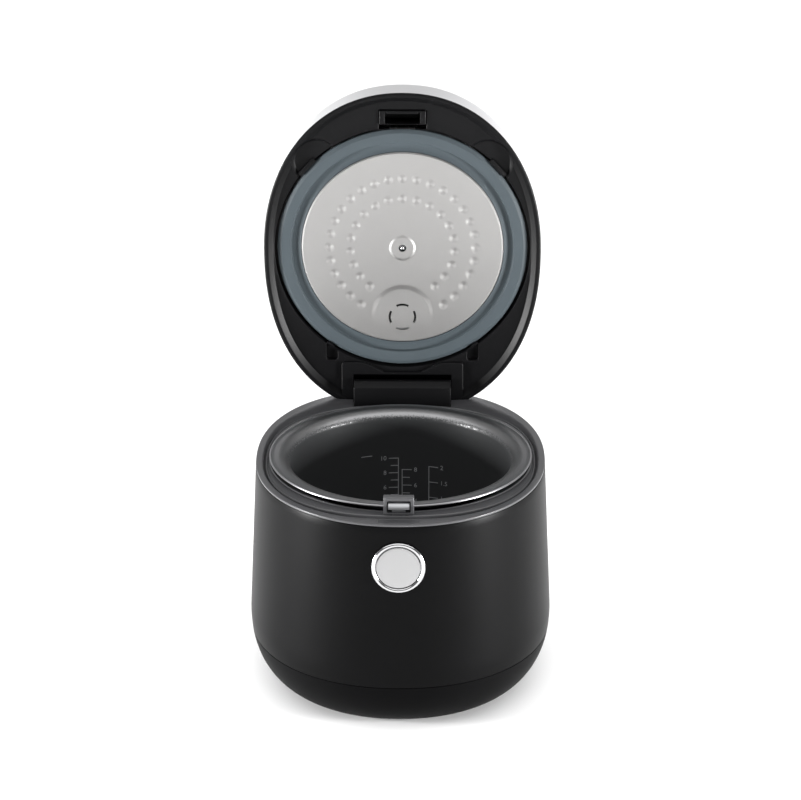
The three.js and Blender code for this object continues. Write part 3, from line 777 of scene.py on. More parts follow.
@dataclass
class BodyShell:
    """The casing, the base cover under it and the deck ring that closes its top."""

    lip: Outline = Outline(131.4, 151.5, 167.3)
    widest: Outline = Outline(137.3, 155.1, 172.7)
    ridge: Outline = Outline(121.5, 129.0, 129.0, 2.4, 2.4)
    lip_height: float = 205.6
    widest_height: float = 63.7
    seam: float = 47.5
    base: float = 1.2
    corner: float = 48.5
    corner_power: float = 2.26
    wall: float = 2.6
    gap: float = 0.3
    parting: float = 0.14  # half the seam between casing and base cover
    mouth: float = 117.6  # radius of the deck's opening
    notch: float = 67.0  # half the width left open behind the hinge block
    notch_front: float = 141.7
    notch_clearance: float = 0.6
    button_hole: float = 24.3

    def ring(self, inset: float, height: float) -> Ring:
        """The body's outline at a height, drawn in by an inset."""
        rise = max(0.0, (height - self.widest_height) / (self.lip_height - self.widest_height))
        drop = max(0.0, (self.widest_height - height) / self.widest_height)
        pull = self.corner * (1 - (1 - drop ** self.corner_power) ** (1 / self.corner_power))
        return self.widest.toward(self.lip, rise).ring(pull + inset, height)

    def rear_notch(self) -> bpy.types.Mesh:
        """The cutter that opens the rear of the rim, curved to clear the lid's edge as it turns."""
        lid, across = LidFrame(), np.linspace(-self.notch, self.notch, 49)
        power = lid.outline.rear_power
        reach = lid.outline.rear * (1 - (np.abs(across) / lid.outline.half) ** power) ** (1 / power)
        edge = np.hypot(np.maximum(0, reach - lid.axis_y), lid.axis_h)
        floor = middle("hinge_pin").z / MM - edge - self.notch_clearance
        mesh = prism([*zip(across, floor), (self.notch, 250), (-self.notch, 250)], -230, -self.notch_front)
        mesh.transform(Matrix.Rotation(math.radians(90), 4, "X"))
        return mesh

    def casing(self) -> bpy.types.Object:
        """Moulds the casing, open at the button, the mains inlet and the hinge."""
        low, high = self.seam + self.parting, self.lip_height - 2.3
        heights = [low + 0.4, *np.arange(50, 66, 2), *np.linspace(70, 196, 15), high - 0.6]
        profile = [(0.4, low), *[(0.0, float(h)) for h in heights], (0.15, high - 0.15), (0.6, high),
                   (self.wall, high), (self.wall, self.widest_height), (self.wall, low)]
        skin = loft([self.ring(i, h) for i, h in profile], looped=True)
        button = turned([(self.button_hole, 130), (self.button_hole, 180)], 96)
        button.transform(Matrix.Translation((0, 0, middle("release_button").z / MM))
                         @ Matrix.Rotation(math.radians(90), 4, "X"))
        plan = rounded_plan((-17.3, 61.7), (17.3, 88.3), 3)
        inlet = prism(plan, -200, -130)
        inlet.transform(Matrix.Rotation(math.radians(90), 4, "X"))
        mesh = cut(skin, self.rear_notch(), button, inlet)
        return dress("casing", mesh, Station.BODY, Surface.CASING,
                     Seat("root", "casing_black", ("outer_casing",)))

    def base_cover(self) -> bpy.types.Object:
        """Moulds the base cover with its foot sockets, screw wells and air slots."""
        top, floor = self.seam - self.parting, self.base + 3.4
        bends = self.base + (top - 2 - self.base) * (1 - np.cos(np.linspace(0, np.pi / 2, 22)))
        profile = [(0.0, float(h)) for h in bends] + [
            (0.0, top - 0.4), (0.4, top), (self.wall, top), (self.wall, 34), (self.wall, 22),
            (self.wall, 12), (self.wall + 1.5, floor),
        ]
        bowl = loft([self.ring(i, h) for i, h in profile])
        tools = []
        for x, y in self.places(("foot_1", "foot_2", "foot_3", "foot_4")):
            tools.append(moved(turned([(9.6, -5), (9.6, 3.1)], SMALL_TURNS), x, y))
        for x, y in self.places(("base_screw_1", "base_screw_2", "base_screw_3", "base_screw_4")):
            well = [(4.6, -5), (4.6, 1.2), (4.2, 1.7), (4.2, 3.1), (2.2, 3.1), (2.2, 12)]
            tools.append(moved(turned(well, SMALL_TURNS), x, y))
        slot = prism(rounded_plan((-2.5, -20), (2.5, 20), 2.4), -5, 12)
        tools.append(Tree.ROW.apply(slot, Surface.BASE, Count=5, Step=(12.0, 0.0, 0.0)))
        return dress("base_cover_shell", cut(bowl, *tools), Station.BODY, Surface.BASE,
                     Seat("root", "base_black", ("base_cover",)))

    @staticmethod
    def places(nodes: Sequence[str]) -> list[Pair]:
        """Plan places of nodes about the pot's axis, in millimetres."""
        pot = middle("inner_pot")
        spots = [middle(n) for n in nodes]
        return [((s.x - pot.x) / MM, (s.y - pot.y) / MM) for s in spots]

    def deck(self) -> bpy.types.Object:
        """Moulds the deck: a flat lip, a drip channel, a ridge and the ledge round the opening."""
        top = self.lip_height
        lip = filleted([(0.2, top - 2.0), (0.0, top - 1.2), (0.0, top), (3.0, top), (5.5, top)], 0.9, 4)
        rings = [self.lip.ring(inset, z) for inset, z in lip]
        edge, foot = self.lip.ring(5.5, top), self.ridge.ring(-1.9, 201.5)
        for share in np.linspace(0.1, 1, 9):
            step = edge * (1 - share) + foot * share
            step[:, 2] = top - 0.35 * share - 3.75 * share ** 2.4
            rings.append(step)
        crest = [(-1.3, 202.0), (-0.9, 203.9), (-0.45, 204.7), (0.0, 204.95), (0.45, 204.85),
                 (0.9, 204.5), (1.3, 204.1)]
        rings += [self.ridge.ring(inset, z) for inset, z in crest]
        rim = [(119.4, 203.9), (118.9, 204.25), (118.3, 204.5), (117.85, 204.3), (self.mouth, 203.8),
               (self.mouth, 200.5), (109.5, 200.5), (109.5, 198.5)]
        rings += [circle(r, z) for r, z in rim]
        rings += [self.ring(6, 198.5), self.ring(6, 192), self.ring(3.1, 192), self.ring(3.1, top - 2.0)]
        skin = loft(rings, looped=True)
        block_low, block_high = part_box("hinge_block")
        pot = middle("inner_pot")
        side, front = block_high.x / MM + self.gap, (block_low.y - pot.y) / MM - self.gap
        seat = cuboid((-side, front, 150), (side, 230, 250))
        recess = pocket((-18.8, -146.2), (18.8, -129.3), 2.0, 205.6, 203.3, 0.5, 1.4)
        slot = cuboid((-7, -127.9, 180), (7, -121.1, 220))
        mesh = cut(skin, self.rear_notch(), seat, recess, slot)
        return dress("deck", mesh, Station.BODY, Surface.DECK,
                     Seat("root", "deck_grey", ("deck_ring",)))

    def build(self) -> None:
        """Builds every piece of the shell."""
        self.casing()
        self.base_cover()
        self.deck()


@dataclass
class BaseFittings:
    """Feet, base screws and the mains inlet."""

    foot_radius: float = 9.2
    screw_radius: float = 3.8

    def feet(self) -> None:
        """Moulds the four rubber feet, each with a shallow ring in its sole."""
        profile = filleted([(0, 0.5), (5.2, 0.5), (5.8, 0), (8.1, 0), (self.foot_radius, 0.9),
                            (self.foot_radius, 2.8), (0, 2.8)], 0.4)
        names = [f"foot_{k}" for k in range(1, 5)]
        for name, (x, y) in zip(names, BodyShell.places(names)):
            mesh = moved(turned(profile, SMALL_TURNS), x, y)
            dress(f"rubber_{name}", mesh, Station.BODY, Surface.RUBBER,
                  Seat("root", "rubber_black", (name,)))

    def screws(self) -> None:
        """Turns the four cross-head screws."""
        profile = filleted([(0, 1.6), (3.3, 1.6), (self.screw_radius, 2.1), (self.screw_radius, 2.8),
                            (1.8, 2.8), (1.8, 15.7), (0, 15.7)], 0.3, 2)
        bar = cuboid((-2.1, -0.45, 0), (2.1, 0.45, 2.5))
        cross = joined(bar, moved(bar.copy(), turn=90))
        names = [f"base_screw_{k}" for k in range(1, 5)]
        for name, (x, y) in zip(names, BodyShell.places(names)):
            mesh = moved(cut(turned(profile, SMALL_TURNS), cross), x, y)
            dress(f"cross_head_{name}", mesh, Station.BODY, Surface.STEEL,
                  Seat("root", "steel", (name,)))

    def inlet(self) -> None:
        """Moulds the mains inlet and its three blades."""
        flange = prism(rounded_plan((-17, 62), (17, 88), 2.6), -171.8, -165)
        barrel = prism(rounded_plan((-15, 64), (15, 86), 2.0), -166, -148)
        hollow = prism(rounded_plan((-12.5, 67), (12.5, 83), 3.0), -180, -152)
        mesh = cut(joined(eased(flange, 0.8), barrel), hollow)
        mesh.transform(Matrix.Rotation(math.radians(90), 4, "X"))
        dress("mains_inlet_socket", mesh, Station.BODY, Surface.DARK,
              Seat("root", "inlet_black", ("ac_inlet",)))
        pot = middle("inner_pot")
        for k in range(1, 4):
            low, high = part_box(f"inlet_pin_{k}")
            corners = [tuple((c - Vector((0, pot.y, 0))) / MM) for c in (low, high)]
            dress(f"inlet_blade_{k}", cuboid(*corners, 0.5), Station.BODY, Surface.BRASS,
                  Seat("root", "brass", (f"inlet_pin_{k}",)))

    def build(self) -> None:
        """Builds the fittings."""
        self.feet()
        self.screws()
        self.inlet()


# ---------- the inner pot ----------


@dataclass(frozen=True)
class Graduation:
    """One printed scale on the pot's wall: where its stem stands and what it counts."""

    name: str
    place: float  # distance round the wall from the rear, mm
    top: float  # height of its first tick
    pitch: float
    count: int
    side: float  # -1 has the ticks on the left of the stem
    numerals: tuple[str, ...]
    every: int = 2


@dataclass
class InnerPot:
    """The spun pot, its non-stick inside and the scales printed on it."""

    rim: float = 119.3
    rim_height: float = 210.0
    inside: float = 100.4
    neck_wide: float = 11.2
    neck_tall: float = 8.4
    numeral: float = 4.6
    scales: tuple[Graduation, ...] = (
        Graduation("cups", -3.2, 163.0, 7.4, 12, -1.0, ("10", "8", "6", "4", "2")),
        Graduation("portions", 0.3, 151.4, 7.9, 10, 1.0, ("8", "6", "4", "2")),
        Graduation("litres", 25.6, 155.9, 15.6, 5, 1.0, ("2", "1.5", "1", "0.5"), 1),
    )

    def profile(self) -> tuple[list[Pair], list[Pair]]:
        """The outer face from the middle of the base to the rim, and the inner face back."""
        outer = filleted([
            (0, 52), (70, 52), (88, 56.5), (97, 64.5), (101.6, 77), (102.6, 92), (102.6, 192),
            (104.2, 200), (108, 205.8), (112.4, 207.8), (118.2, 207.8), (self.rim, 208.8),
        ], 5, 5)
        top = self.rim_height
        bead = [(self.rim - 0.1, 209.35), (self.rim - 0.5, top - 0.2), (self.rim - 1.1, top),
                (self.rim - 1.8, top - 0.1), (self.rim - 2.4, top - 0.35), (114, top - 0.5)]
        start = self.inside + self.neck_wide
        neck = [(start - self.neck_wide * math.sin(a), top - 0.5 - self.neck_tall * (1 - math.cos(a)))
                for a in np.linspace(0, math.pi / 2, 14)]
        bottom = filleted([(self.inside, 192), (self.inside, 92), (99.4, 77.6), (95.3, 66.4),
                           (86.9, 58.9), (69.7, 54.4), (0, 54.4)], 6, 5)
        return outer, bead + neck + bottom

    def shell(self) -> bpy.types.Object:
        """Spins the pot and gives its inside the coat."""
        outer, inner = self.profile()
        mesh = turned(outer + inner, SIDES)
        pot = dress("cooking_pot", mesh, Station.BODY, Surface.SPUN,
                    Seat("pot", "pot_metal", ("inner_pot",)))
        pot.data.materials.append(Surface.POT_INSIDE.material())
        axis = middle("inner_pot")
        for face in pot.data.polygons:
            spot = face.center
            reach = math.hypot(spot.x - axis.x, spot.y - axis.y) / MM
            inward = (face.normal.x * (spot.x - axis.x) + face.normal.y * (spot.y - axis.y)) < 0
            flat_floor = face.normal.z > 0.9 and reach < 90
            face.material_index = int((inward and reach < 112 or flat_floor) and face.normal.z > -0.2)
        return pot

    def label(self, text: str, place: float, height: float, left: bool) -> bpy.types.Mesh:
        """Prints a numeral on the wall, its near end at a place."""
        curve = bpy.data.curves.new("numeral", "FONT")
        curve.body, curve.size, curve.extrude = text, self.numeral * 1.35, 0.08
        curve.align_x, curve.align_y = ("RIGHT" if left else "LEFT"), "CENTER"
        curve.resolution_u = 3
        carrier = bpy.data.objects.new("numeral", curve)
        bpy.context.scene.collection.objects.link(carrier)
        graph = bpy.context.evaluated_depsgraph_get()
        mesh = bpy.data.meshes.new_from_object(carrier.evaluated_get(graph), depsgraph=graph)
        bpy.data.objects.remove(carrier)
        for vertex in mesh.vertices:
            angle = (place + vertex.co.x) / self.inside
            radius = self.inside - vertex.co.z
            vertex.co = (radius * math.sin(angle), radius * math.cos(angle), height + vertex.co.y)
        return mesh

    def markings(self) -> None:
        """Prints the three scales, their numerals and the fill line."""
        for scale in self.scales:
            blank = bpy.data.meshes.new("blank")
            ticks = Tree.SCALE.apply(
                blank, Surface.MARKING, Count=scale.count, Pitch=scale.pitch, Top=scale.top,
                Side=scale.side, Long=9.0, Short=7.2 if scale.every == 2 else 9.0, Line=0.75,
                Place=scale.place, Radius=self.inside,
            )
            parts = [ticks]
            for k, text in enumerate(scale.numerals):
                height = scale.top - k * scale.every * scale.pitch
                parts.append(self.label(text, scale.place + scale.side * 11, height, scale.side < 0))
            dress(f"scale_{scale.name}", merged(*parts), Station.BODY, Surface.MARKING,
                  Seat("pot", "pot_metal"))
        line = Tree.SCALE.apply(
            bpy.data.meshes.new("blank"), Surface.MARKING, Count=1, Pitch=1.0, Top=166.5, Side=-1.0,
            Long=10.5, Short=10.5, Line=0.75, Place=-28.2, Radius=self.inside,
        )
        dress("fill_line", line, Station.BODY, Surface.MARKING, Seat("pot", "pot_metal"))

    def build(self) -> None:
        """Builds the pot and its print."""
        self.shell()
        self.markings()


# ---------- release button and latch ----------


@dataclass
class Release:
    """The round release button in its plated bezel, and the latch that it works."""

    radius: float = 19.6
    bezel: float = 24.0
    face: float = 153.8
    half: float = 13.5
    front: float = -129.0
    rear: float = -121.3
    top: float = 222.0

    def bezel_ring(self) -> None:
        """Turns the plated bezel: a full round nose over a straight barrel."""
        nose = [(20.2 + 3.8 * (1 - math.cos(a)) / 2, 152.9 + 1.75 * math.sin(a))
                for a in np.linspace(0.15, math.pi - 0.1, 16)]
        profile = [(20.2, 139.6), (20.2, 152.4), *nose, (self.bezel, 152.3), (self.bezel, 145),
                   (22, 145), (22, 138), (6.5, 138), (6.5, 139.6)]
        mesh = turned(profile, TURNS, looped=True)
        dress("button_surround", mesh, Station.BUTTON, Surface.CHROME,
              Seat("root", "chrome", ("button_bezel",)))

    def cap(self) -> None:
        """Turns the button's cap, barely crowned, on its stem."""
        crown = [(18.9 * k / 8, self.face - 0.25 * (k / 8) ** 2) for k in range(9)]
        rim = filleted([crown[-1], (self.radius, self.face - 0.35), (self.radius, 149), (5, 149)], 0.5)
        mesh = turned([*crown, *rim[1:], (5, 127.6), (0, 127.6)])
        dress("button_cap", mesh, Station.BUTTON, Surface.BUTTON,
              Seat("button", "button_silver", ("release_button",)))

    def housing(self) -> None:
        """Moulds the latch housing with its window."""
        post = cuboid((-self.half, self.front, 205.3), (self.half, self.rear, self.top), 0.9)
        hollow = cuboid((-10.6, self.front + 1.6, 190), (10.6, self.rear - 0.8, self.top - 2))
        plan = rounded_plan((-10.6, 207.2), (10.6, 218.6), 1.0)
        window = prism(plan, -(self.front + 3), -(self.front - 5))
        window.transform(Matrix.Rotation(math.radians(90), 4, "X"))
        dress("latch_post", cut(post, hollow, window), Station.BODY, Surface.DECK,
              Seat("root", "frame_black", ("latch_housing",)))

    def hook(self) -> None:
        """Stamps the hook plate and its stem."""
        nose = along_x([(-125.2, 211), (-130.6, 211), (-131.1, 211.6), (-130.9, 212.4), (-127.2, 217),
                        (-126.6, 217.2), (-125.2, 217.2)], -9.4, 9.4)
        stem = cuboid((-6, -127, 158), (6, -125.2, 214))
        mesh = joined(eased(nose, 0.3, 2, 50), stem)
        dress("latch_hook_plate", mesh, Station.BODY, Surface.STEEL,
              Seat("latch", "steel", ("latch_hook",)))

    def build(self) -> None:
        """Builds the button and the latch."""
        self.bezel_ring()
        self.cap()
        self.housing()
        self.hook()


# ---------- hinge ----------


@dataclass
class Hinge:
    """The block that the lid turns on, with its pin."""

    block: float = 45.3
    front: float = -16.0
    barrel: float = 9.0
    pin: float = 2.0

    def block_piece(self) -> None:
        """Moulds the hinge block round the pin."""
        curve = [(self.barrel * math.cos(a), self.barrel * math.sin(a))
                 for a in np.linspace(math.pi / 2, -math.pi / 2, 15)]
        side = [(self.front, -8), (self.front, 11.4), (-9.5, 15.8), (-5, 15.8), (-0.6, 13), *curve,
                (-4.4, -11.8), (-7, -12), (-7, -19.5), (self.front, -19.5)]
        mesh = eased(along_x(side, -self.block, self.block), 0.8, 3, 30)
        dress("hinge_knuckle", mesh, Station.HINGE, Surface.FRAME,
              Seat("root", "base_black", ("hinge_block",)))

    def pin_piece(self) -> None:
        """Turns the hinge pin with chamfered ends."""
        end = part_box("hinge_pin")[1].x / MM
        mesh = turned([(0, -end), (self.pin - 0.4, -end), (self.pin, 0.4 - end),
                       (self.pin, end - 0.4), (self.pin - 0.4, end), (0, end)], SMALL_TURNS)
        mesh.transform(Matrix.Rotation(math.radians(90), 4, "Y"))
        dress("hinge_rod", mesh, Station.HINGE, Surface.CHROME,
              Seat("root", "steel", ("hinge_pin",)))

    def build(self) -> None:
        """Builds the hinge."""
        self.block_piece()
        self.pin_piece()


# ---------- lid ----------


@dataclass
class LidFrame:
    """The black inner frame of the lid with its recesses, latch strike, tab and clips."""

    outline: Outline = Outline(128.3, 152.4, 164.5)
    floor: float = 4.2
    wall: float = 4.2
    seat_radius: float = 118.3
    seat_depth: float = 14.0
    flange: float = 1.8  # the rim over the cover's edge
    nested: float = 2.9  # how far the sides stand in from the cover's face
    axis_y: float = 144.5  # hinge axis from the disc's centre
    axis_h: float = 3.8
    sweep: float = 20.3
    barrel: float = 9.6
    platform: float = 57.0

    def ring(self, inset: float, h: float) -> Ring:
        """The lid's outline at a height above the rim plane."""
        return self.outline.ring(inset, h)

    def about_axis(self, mesh: bpy.types.Mesh) -> bpy.types.Mesh:
        """Moves a mesh drawn about the hinge axis to the lid's axes."""
        return moved(mesh, 0, self.axis_y, self.axis_h)

    def swept(self, radius: float, half: float) -> bpy.types.Mesh:
        """The round pocket that clears the hinge block as the lid turns."""
        side = [(0.4, -6.0)] + [
            (radius * math.cos(a), radius * math.sin(a))
            for a in np.radians(np.linspace(88, 195, 22))
        ]
        return self.about_axis(along_x(side, -half, half))

    def rod(self, radius: float, half: float) -> bpy.types.Mesh:
        """A rod along the hinge axis."""
        mesh = turned([(radius, -half), (radius, half)], 48)
        mesh.transform(Matrix.Rotation(math.radians(90), 4, "Y"))
        return self.about_axis(mesh)

    def skin(self) -> bpy.types.Mesh:
        """The frame's main moulding, with the round seat for the gasket."""
        back = self.floor + self.wall
        slope = filleted([(12.0, self.floor), (9.0, self.floor), (4.4, 0.35), (4.1, 0.0), (1.2, 0.0),
                          (0.0, 0.8), (0.0, self.flange)], 0.8, 3)
        rings = [circle(r, h) for r, h in [
            (self.seat_radius, self.seat_depth), (self.seat_radius, self.floor + 0.8),
            (self.seat_radius + 0.2, self.floor + 0.25), (self.seat_radius + 0.7, self.floor),
        ]]
        rings += [self.ring(i, h) for i, h in slope if i < 9.0]
        rings += [self.ring(self.nested, self.flange), self.ring(self.nested, back)]
        rings += [circle(r, h) for r, h in [
            (120.8, back), (120.8, self.seat_depth + 2.4),
        ]]
        return loft(rings)

    def platform_piece(self) -> bpy.types.Mesh:
        """The raised platform by the hinge, its front edge dipping to a spout for condensate."""
        half, lead = self.platform, 112.7
        plan: list[Pair] = [(-half, 180), (-half, lead + 3)]
        plan += [(-half + 3 - 3 * math.cos(a), lead + 3 - 3 * math.sin(a))
                 for a in np.linspace(0.3, math.pi / 2, 5)]
        sweep = [(-41 + 82 * s, lead + 14.8 * (0.5 - 0.5 * math.cos(2 * math.pi * s)) ** 0.9)
                 for s in np.linspace(0, 1, 33)]
        plan += sweep
        plan += [(-x, y) for x, y in reversed(plan[1:7])] + [(half, 180)]
        block = eased(prism(plan, 0.0, self.floor + 1), 1.1, 4, 50)
        block.transform(Matrix.Translation((0, 0, 0.8)))
        region = loft([self.ring(3.2, 0.4), self.ring(3.2, self.floor + 3)])
        return kept_inside(block, region)

    def hook_pocket(self, side: int) -> bpy.types.Mesh:
        """A narrow pocket beside the gasket, by the hinge, for a service clip."""
        low, high = sorted((side * 60.5, side * 71.0))
        return pocket((low, 88), (high, 111.5), 2.5, self.floor, 8.0, 0.6)

    def scallop(self, side: int) -> bpy.types.Mesh:
        """A finger scoop with sloping sides, beside the gasket."""
        rings = [(23.4, -5), (23.4, 4.2), (22.9, 4.35), (22.5, 4.9), (20.6, 7.0), (20.0, 7.5), (19.2, 7.6)]
        return moved(turned(rings, 72), side * 79, -84)

    def main(self) -> None:
        """Moulds the frame."""
        recess = kept_inside(self.swept(self.sweep + 2, 48), cuboid((-60, 100, 0.8), (60, 164, 40)))
        boss = self.about_axis(along_x([(-5, -3), (3.4, -3), (3.4, 6), (-5, 6)], -57, 57))
        body = joined(self.skin(), self.platform_piece(), recess, boss)
        vent = moved(turned([(14, -10), (14, 60)], 48), 0, 66)
        latch = pocket((-21.8, -135.2), (21.8, -112), 1.5, self.floor, 30, 0.7)
        mesh = cut(
            body, self.rod(2.4, 56.5), self.rod(self.barrel, 46), self.swept(self.sweep, 46), vent,
            latch, *[self.scallop(s) for s in (-1, 1)], *[self.hook_pocket(s) for s in (-1, 1)],
        )
        dress("lid_frame", mesh, Station.LID, Surface.FRAME,
              Seat("lid", "frame_black", ("lid_inner_frame",)), 28)

    def strike(self) -> None:
        """Moulds the strike that the latch hook catches, a box with a ledge."""
        outer = cuboid((-21.5, -134.9, 2.0), (21.5, -121.4, 20), 0.8)
        hollow = pocket((-16, -133.5), (16, -122.4), 1.2, 2.0, 18.4, 0.9, 1.5)
        ledge = cuboid((-14.4, -134, 2.6), (14.4, -131.6, 4.4), 0.5)
        dress("strike_box", joined(cut(outer, hollow), ledge), Station.LID, Surface.FRAME,
              Seat("lid", "frame_black", ("latch_strike",)))

    def tab(self) -> None:
        """Moulds the sliding tab that frees the inner plate."""
        low, high = (-11.5, -118, 4.4), (11.5, -116.4, 12)
        ribs = [cuboid((x - 0.5, -118.2, 4.2), (x + 0.5, -116.4, 9), 0.2) for x in (-6, 6)]
        dress("release_tab", merged(cuboid(low, high, 0.4), *ribs), Station.LID, Surface.FRAME,
              Seat("lid_tab", "frame_black", ("inner_lid_tab",)))

    def clips(self) -> None:
        """Moulds the four gasket clips: a curved lip on a short leg."""
        for k in range(1, 5):
            spot = middle(f"gasket_clip_{k}")
            centre = Station.LID.matrix().inverted() @ spot
            angle = math.degrees(math.atan2(centre.y, centre.x)) + 90
            wide = 10.0 if centre.y < 0 else 4.0
            lip = 120.4 if centre.y < 0 else 118.1
            bar = prism(rounded_plan((-wide, -lip), (wide, -116.1), 0.9), 4.3, 5.8)
            leg = cuboid((-wide * 0.5, -117.2, 5.0), (wide * 0.5, -116.1, 10))
            mesh = moved(joined(eased(bar, 0.3, 2), leg), turn=angle)
            dress(f"clip_{k}", mesh, Station.LID, Surface.FRAME,
                  Seat("lid", "frame_black", (f"gasket_clip_{k}",)))

    def build(self) -> None:
        """Builds the frame and what is fixed to it."""
        self.main()
        self.strike()
        self.tab()
        self.clips()


@dataclass
class InnerLid:
    """The removable plate: silicone gasket, pressed aluminium disc, grommet and pin."""

    gasket_radius: float = 115.8
    disc: float = 93.4
    vent: float = 66.0
    slots: float = 68.6  # centre of the steam slots
    step: float = 0.9  # mesh spacing of the pressed sheet
    gauge: float = 0.8  # thickness of the pressed sheet
    arch_slope: Pair = (24.0, 30.0)  # inner and outer radius of the slope round the vent
    dimple_width: float = 10.6
    dimple_depth: float = 0.8

    def gasket(self) -> None:
        """Moulds the gasket: a bevelled outer band, a step and a hollow inner band."""
        outer = self.gasket_radius
        hollow = [(102.4 - 8.4 * s, 8.3 - 1.3 * s ** 2 + 0.4 * math.sin(math.pi * s))
                  for s in np.linspace(0, 1, 14)]
        profile = filleted([(outer, 9.6), (outer, 6.9), (outer - 3.6, 4.75), (103.6, 4.75),
                            (103.0, 5.4), (102.4, 8.3)], 0.4, 3) + hollow[1:] + [(93.7, 9.6)]
        mesh = turned(profile, SIDES, looped=True)
        dress("gasket_ring", mesh, Station.LID, Surface.SILICONE,
              Seat("lid", "gasket_grey", ("lid_gasket",)))

    def relief(self, x: np.ndarray, y: np.ndarray) -> np.ndarray:
        """How far the sheet is pressed back from its flat face, over its plan."""
        def ease(value: np.ndarray, low: float, high: float) -> np.ndarray:
            """A smooth rise from 0 at low to 1 at high."""
            share = np.clip((value - low) / (high - low), 0, 1)
            return share * share * (3 - 2 * share)

        radius = np.hypot(x, y)
        lip = 0.25 * ease(12.9 - radius, 0, 1) * ease(radius, 11, 12.6)
        boss = -1.0 * (1 - ease(radius, 10.2, 12.6)) + lip
        arch = np.hypot(x, np.minimum(y - self.vent, 0))
        fade = 1 - ease(y, 46, 80)
        well = 1.5 * (1 - ease(arch, *self.arch_slope)) * fade * (y > 0)
        rolled = 1.3 * ease(radius, self.disc - 1.0, self.disc)
        return 5.4 + boss + well + rolled

    def sheet(self) -> bpy.types.Mesh:
        """The flat blank, ringed to its edge, shaped by its boss and its vent arch."""
        rim = np.linspace(self.disc - 1.6, self.disc, 5)
        radii = [3.5, 3.8, *np.arange(4.5, self.disc - 2, self.step), *rim]
        sides = 480
        angle = np.arange(sides) * 2 * np.pi / sides
        rings = []
        for r in radii:
            x, y = r * np.cos(angle), r * np.sin(angle)
            rings.append(np.stack([x, y, self.relief(x, y)], 1))
        back = [np.column_stack([ring[:, :2], ring[:, 2] + self.gauge])
                for ring in (rings[-1], *rings[::-12][1:], rings[0])]
        return loft([*rings, *back], looped=True)

    def plate(self) -> None:
        """Presses the disc, with two arcs of dimples and four steam slots."""
        mesh = self.sheet()
        for count, pitch, radius in ((27, 11.2, 67.9), (19, 15.7, 48.5)):
            mesh = Tree.DIMPLES.apply(mesh, Surface.PLATE, Count=count, Pitch=pitch, Radius=radius,
                                      Width=self.dimple_width, Depth=self.dimple_depth)
        arc = [(11.9 + out, math.radians(a)) for out, turn in ((-1.0, 1), (1.0, -1))
               for a in np.linspace(-28 * turn, 28 * turn, 13)]
        slot = prism([(r * math.sin(a), -r * math.cos(a)) for r, a in arc], -5, 20)
        slots = Tree.ARC.apply(slot, Surface.PLATE, Count=4, Pitch=90.0, Start=45.0 + 90.0)
        mesh = cut(mesh, moved(slots, 0, self.slots))
        dress("pressed_plate", mesh, Station.LID, Surface.PLATE,
              Seat("lid", "plate_aluminium", ("inner_lid_plate",)), 40)

    def centre(self) -> None:
        """Moulds the grommet and turns the pin in it."""
        grommet = turned(filleted([(3, 9.6), (3, 6.9), (7.2, 6.9), (7.2, 9.6)], 0.4), SMALL_TURNS, True)
        dress("grommet", grommet, Station.LID, Surface.SILICONE,
              Seat("lid", "gasket_grey", ("pin_grommet",)))
        dome = [(1.9 * math.sin(a), 4.9 - 1.5 * math.cos(a)) for a in np.linspace(0, math.pi / 2, 8)]
        pin = turned([*dome, (1.9, 6.0), (2.6, 6.4), (2.6, 13.6), (0, 13.6)], SMALL_TURNS)
        dress("locating_pin", pin, Station.LID, Surface.CHROME,
              Seat("lid", "chrome", ("centre_pin",)))

    def build(self) -> None:
        """Builds the inner plate."""
        self.gasket()
        self.plate()
        self.centre()


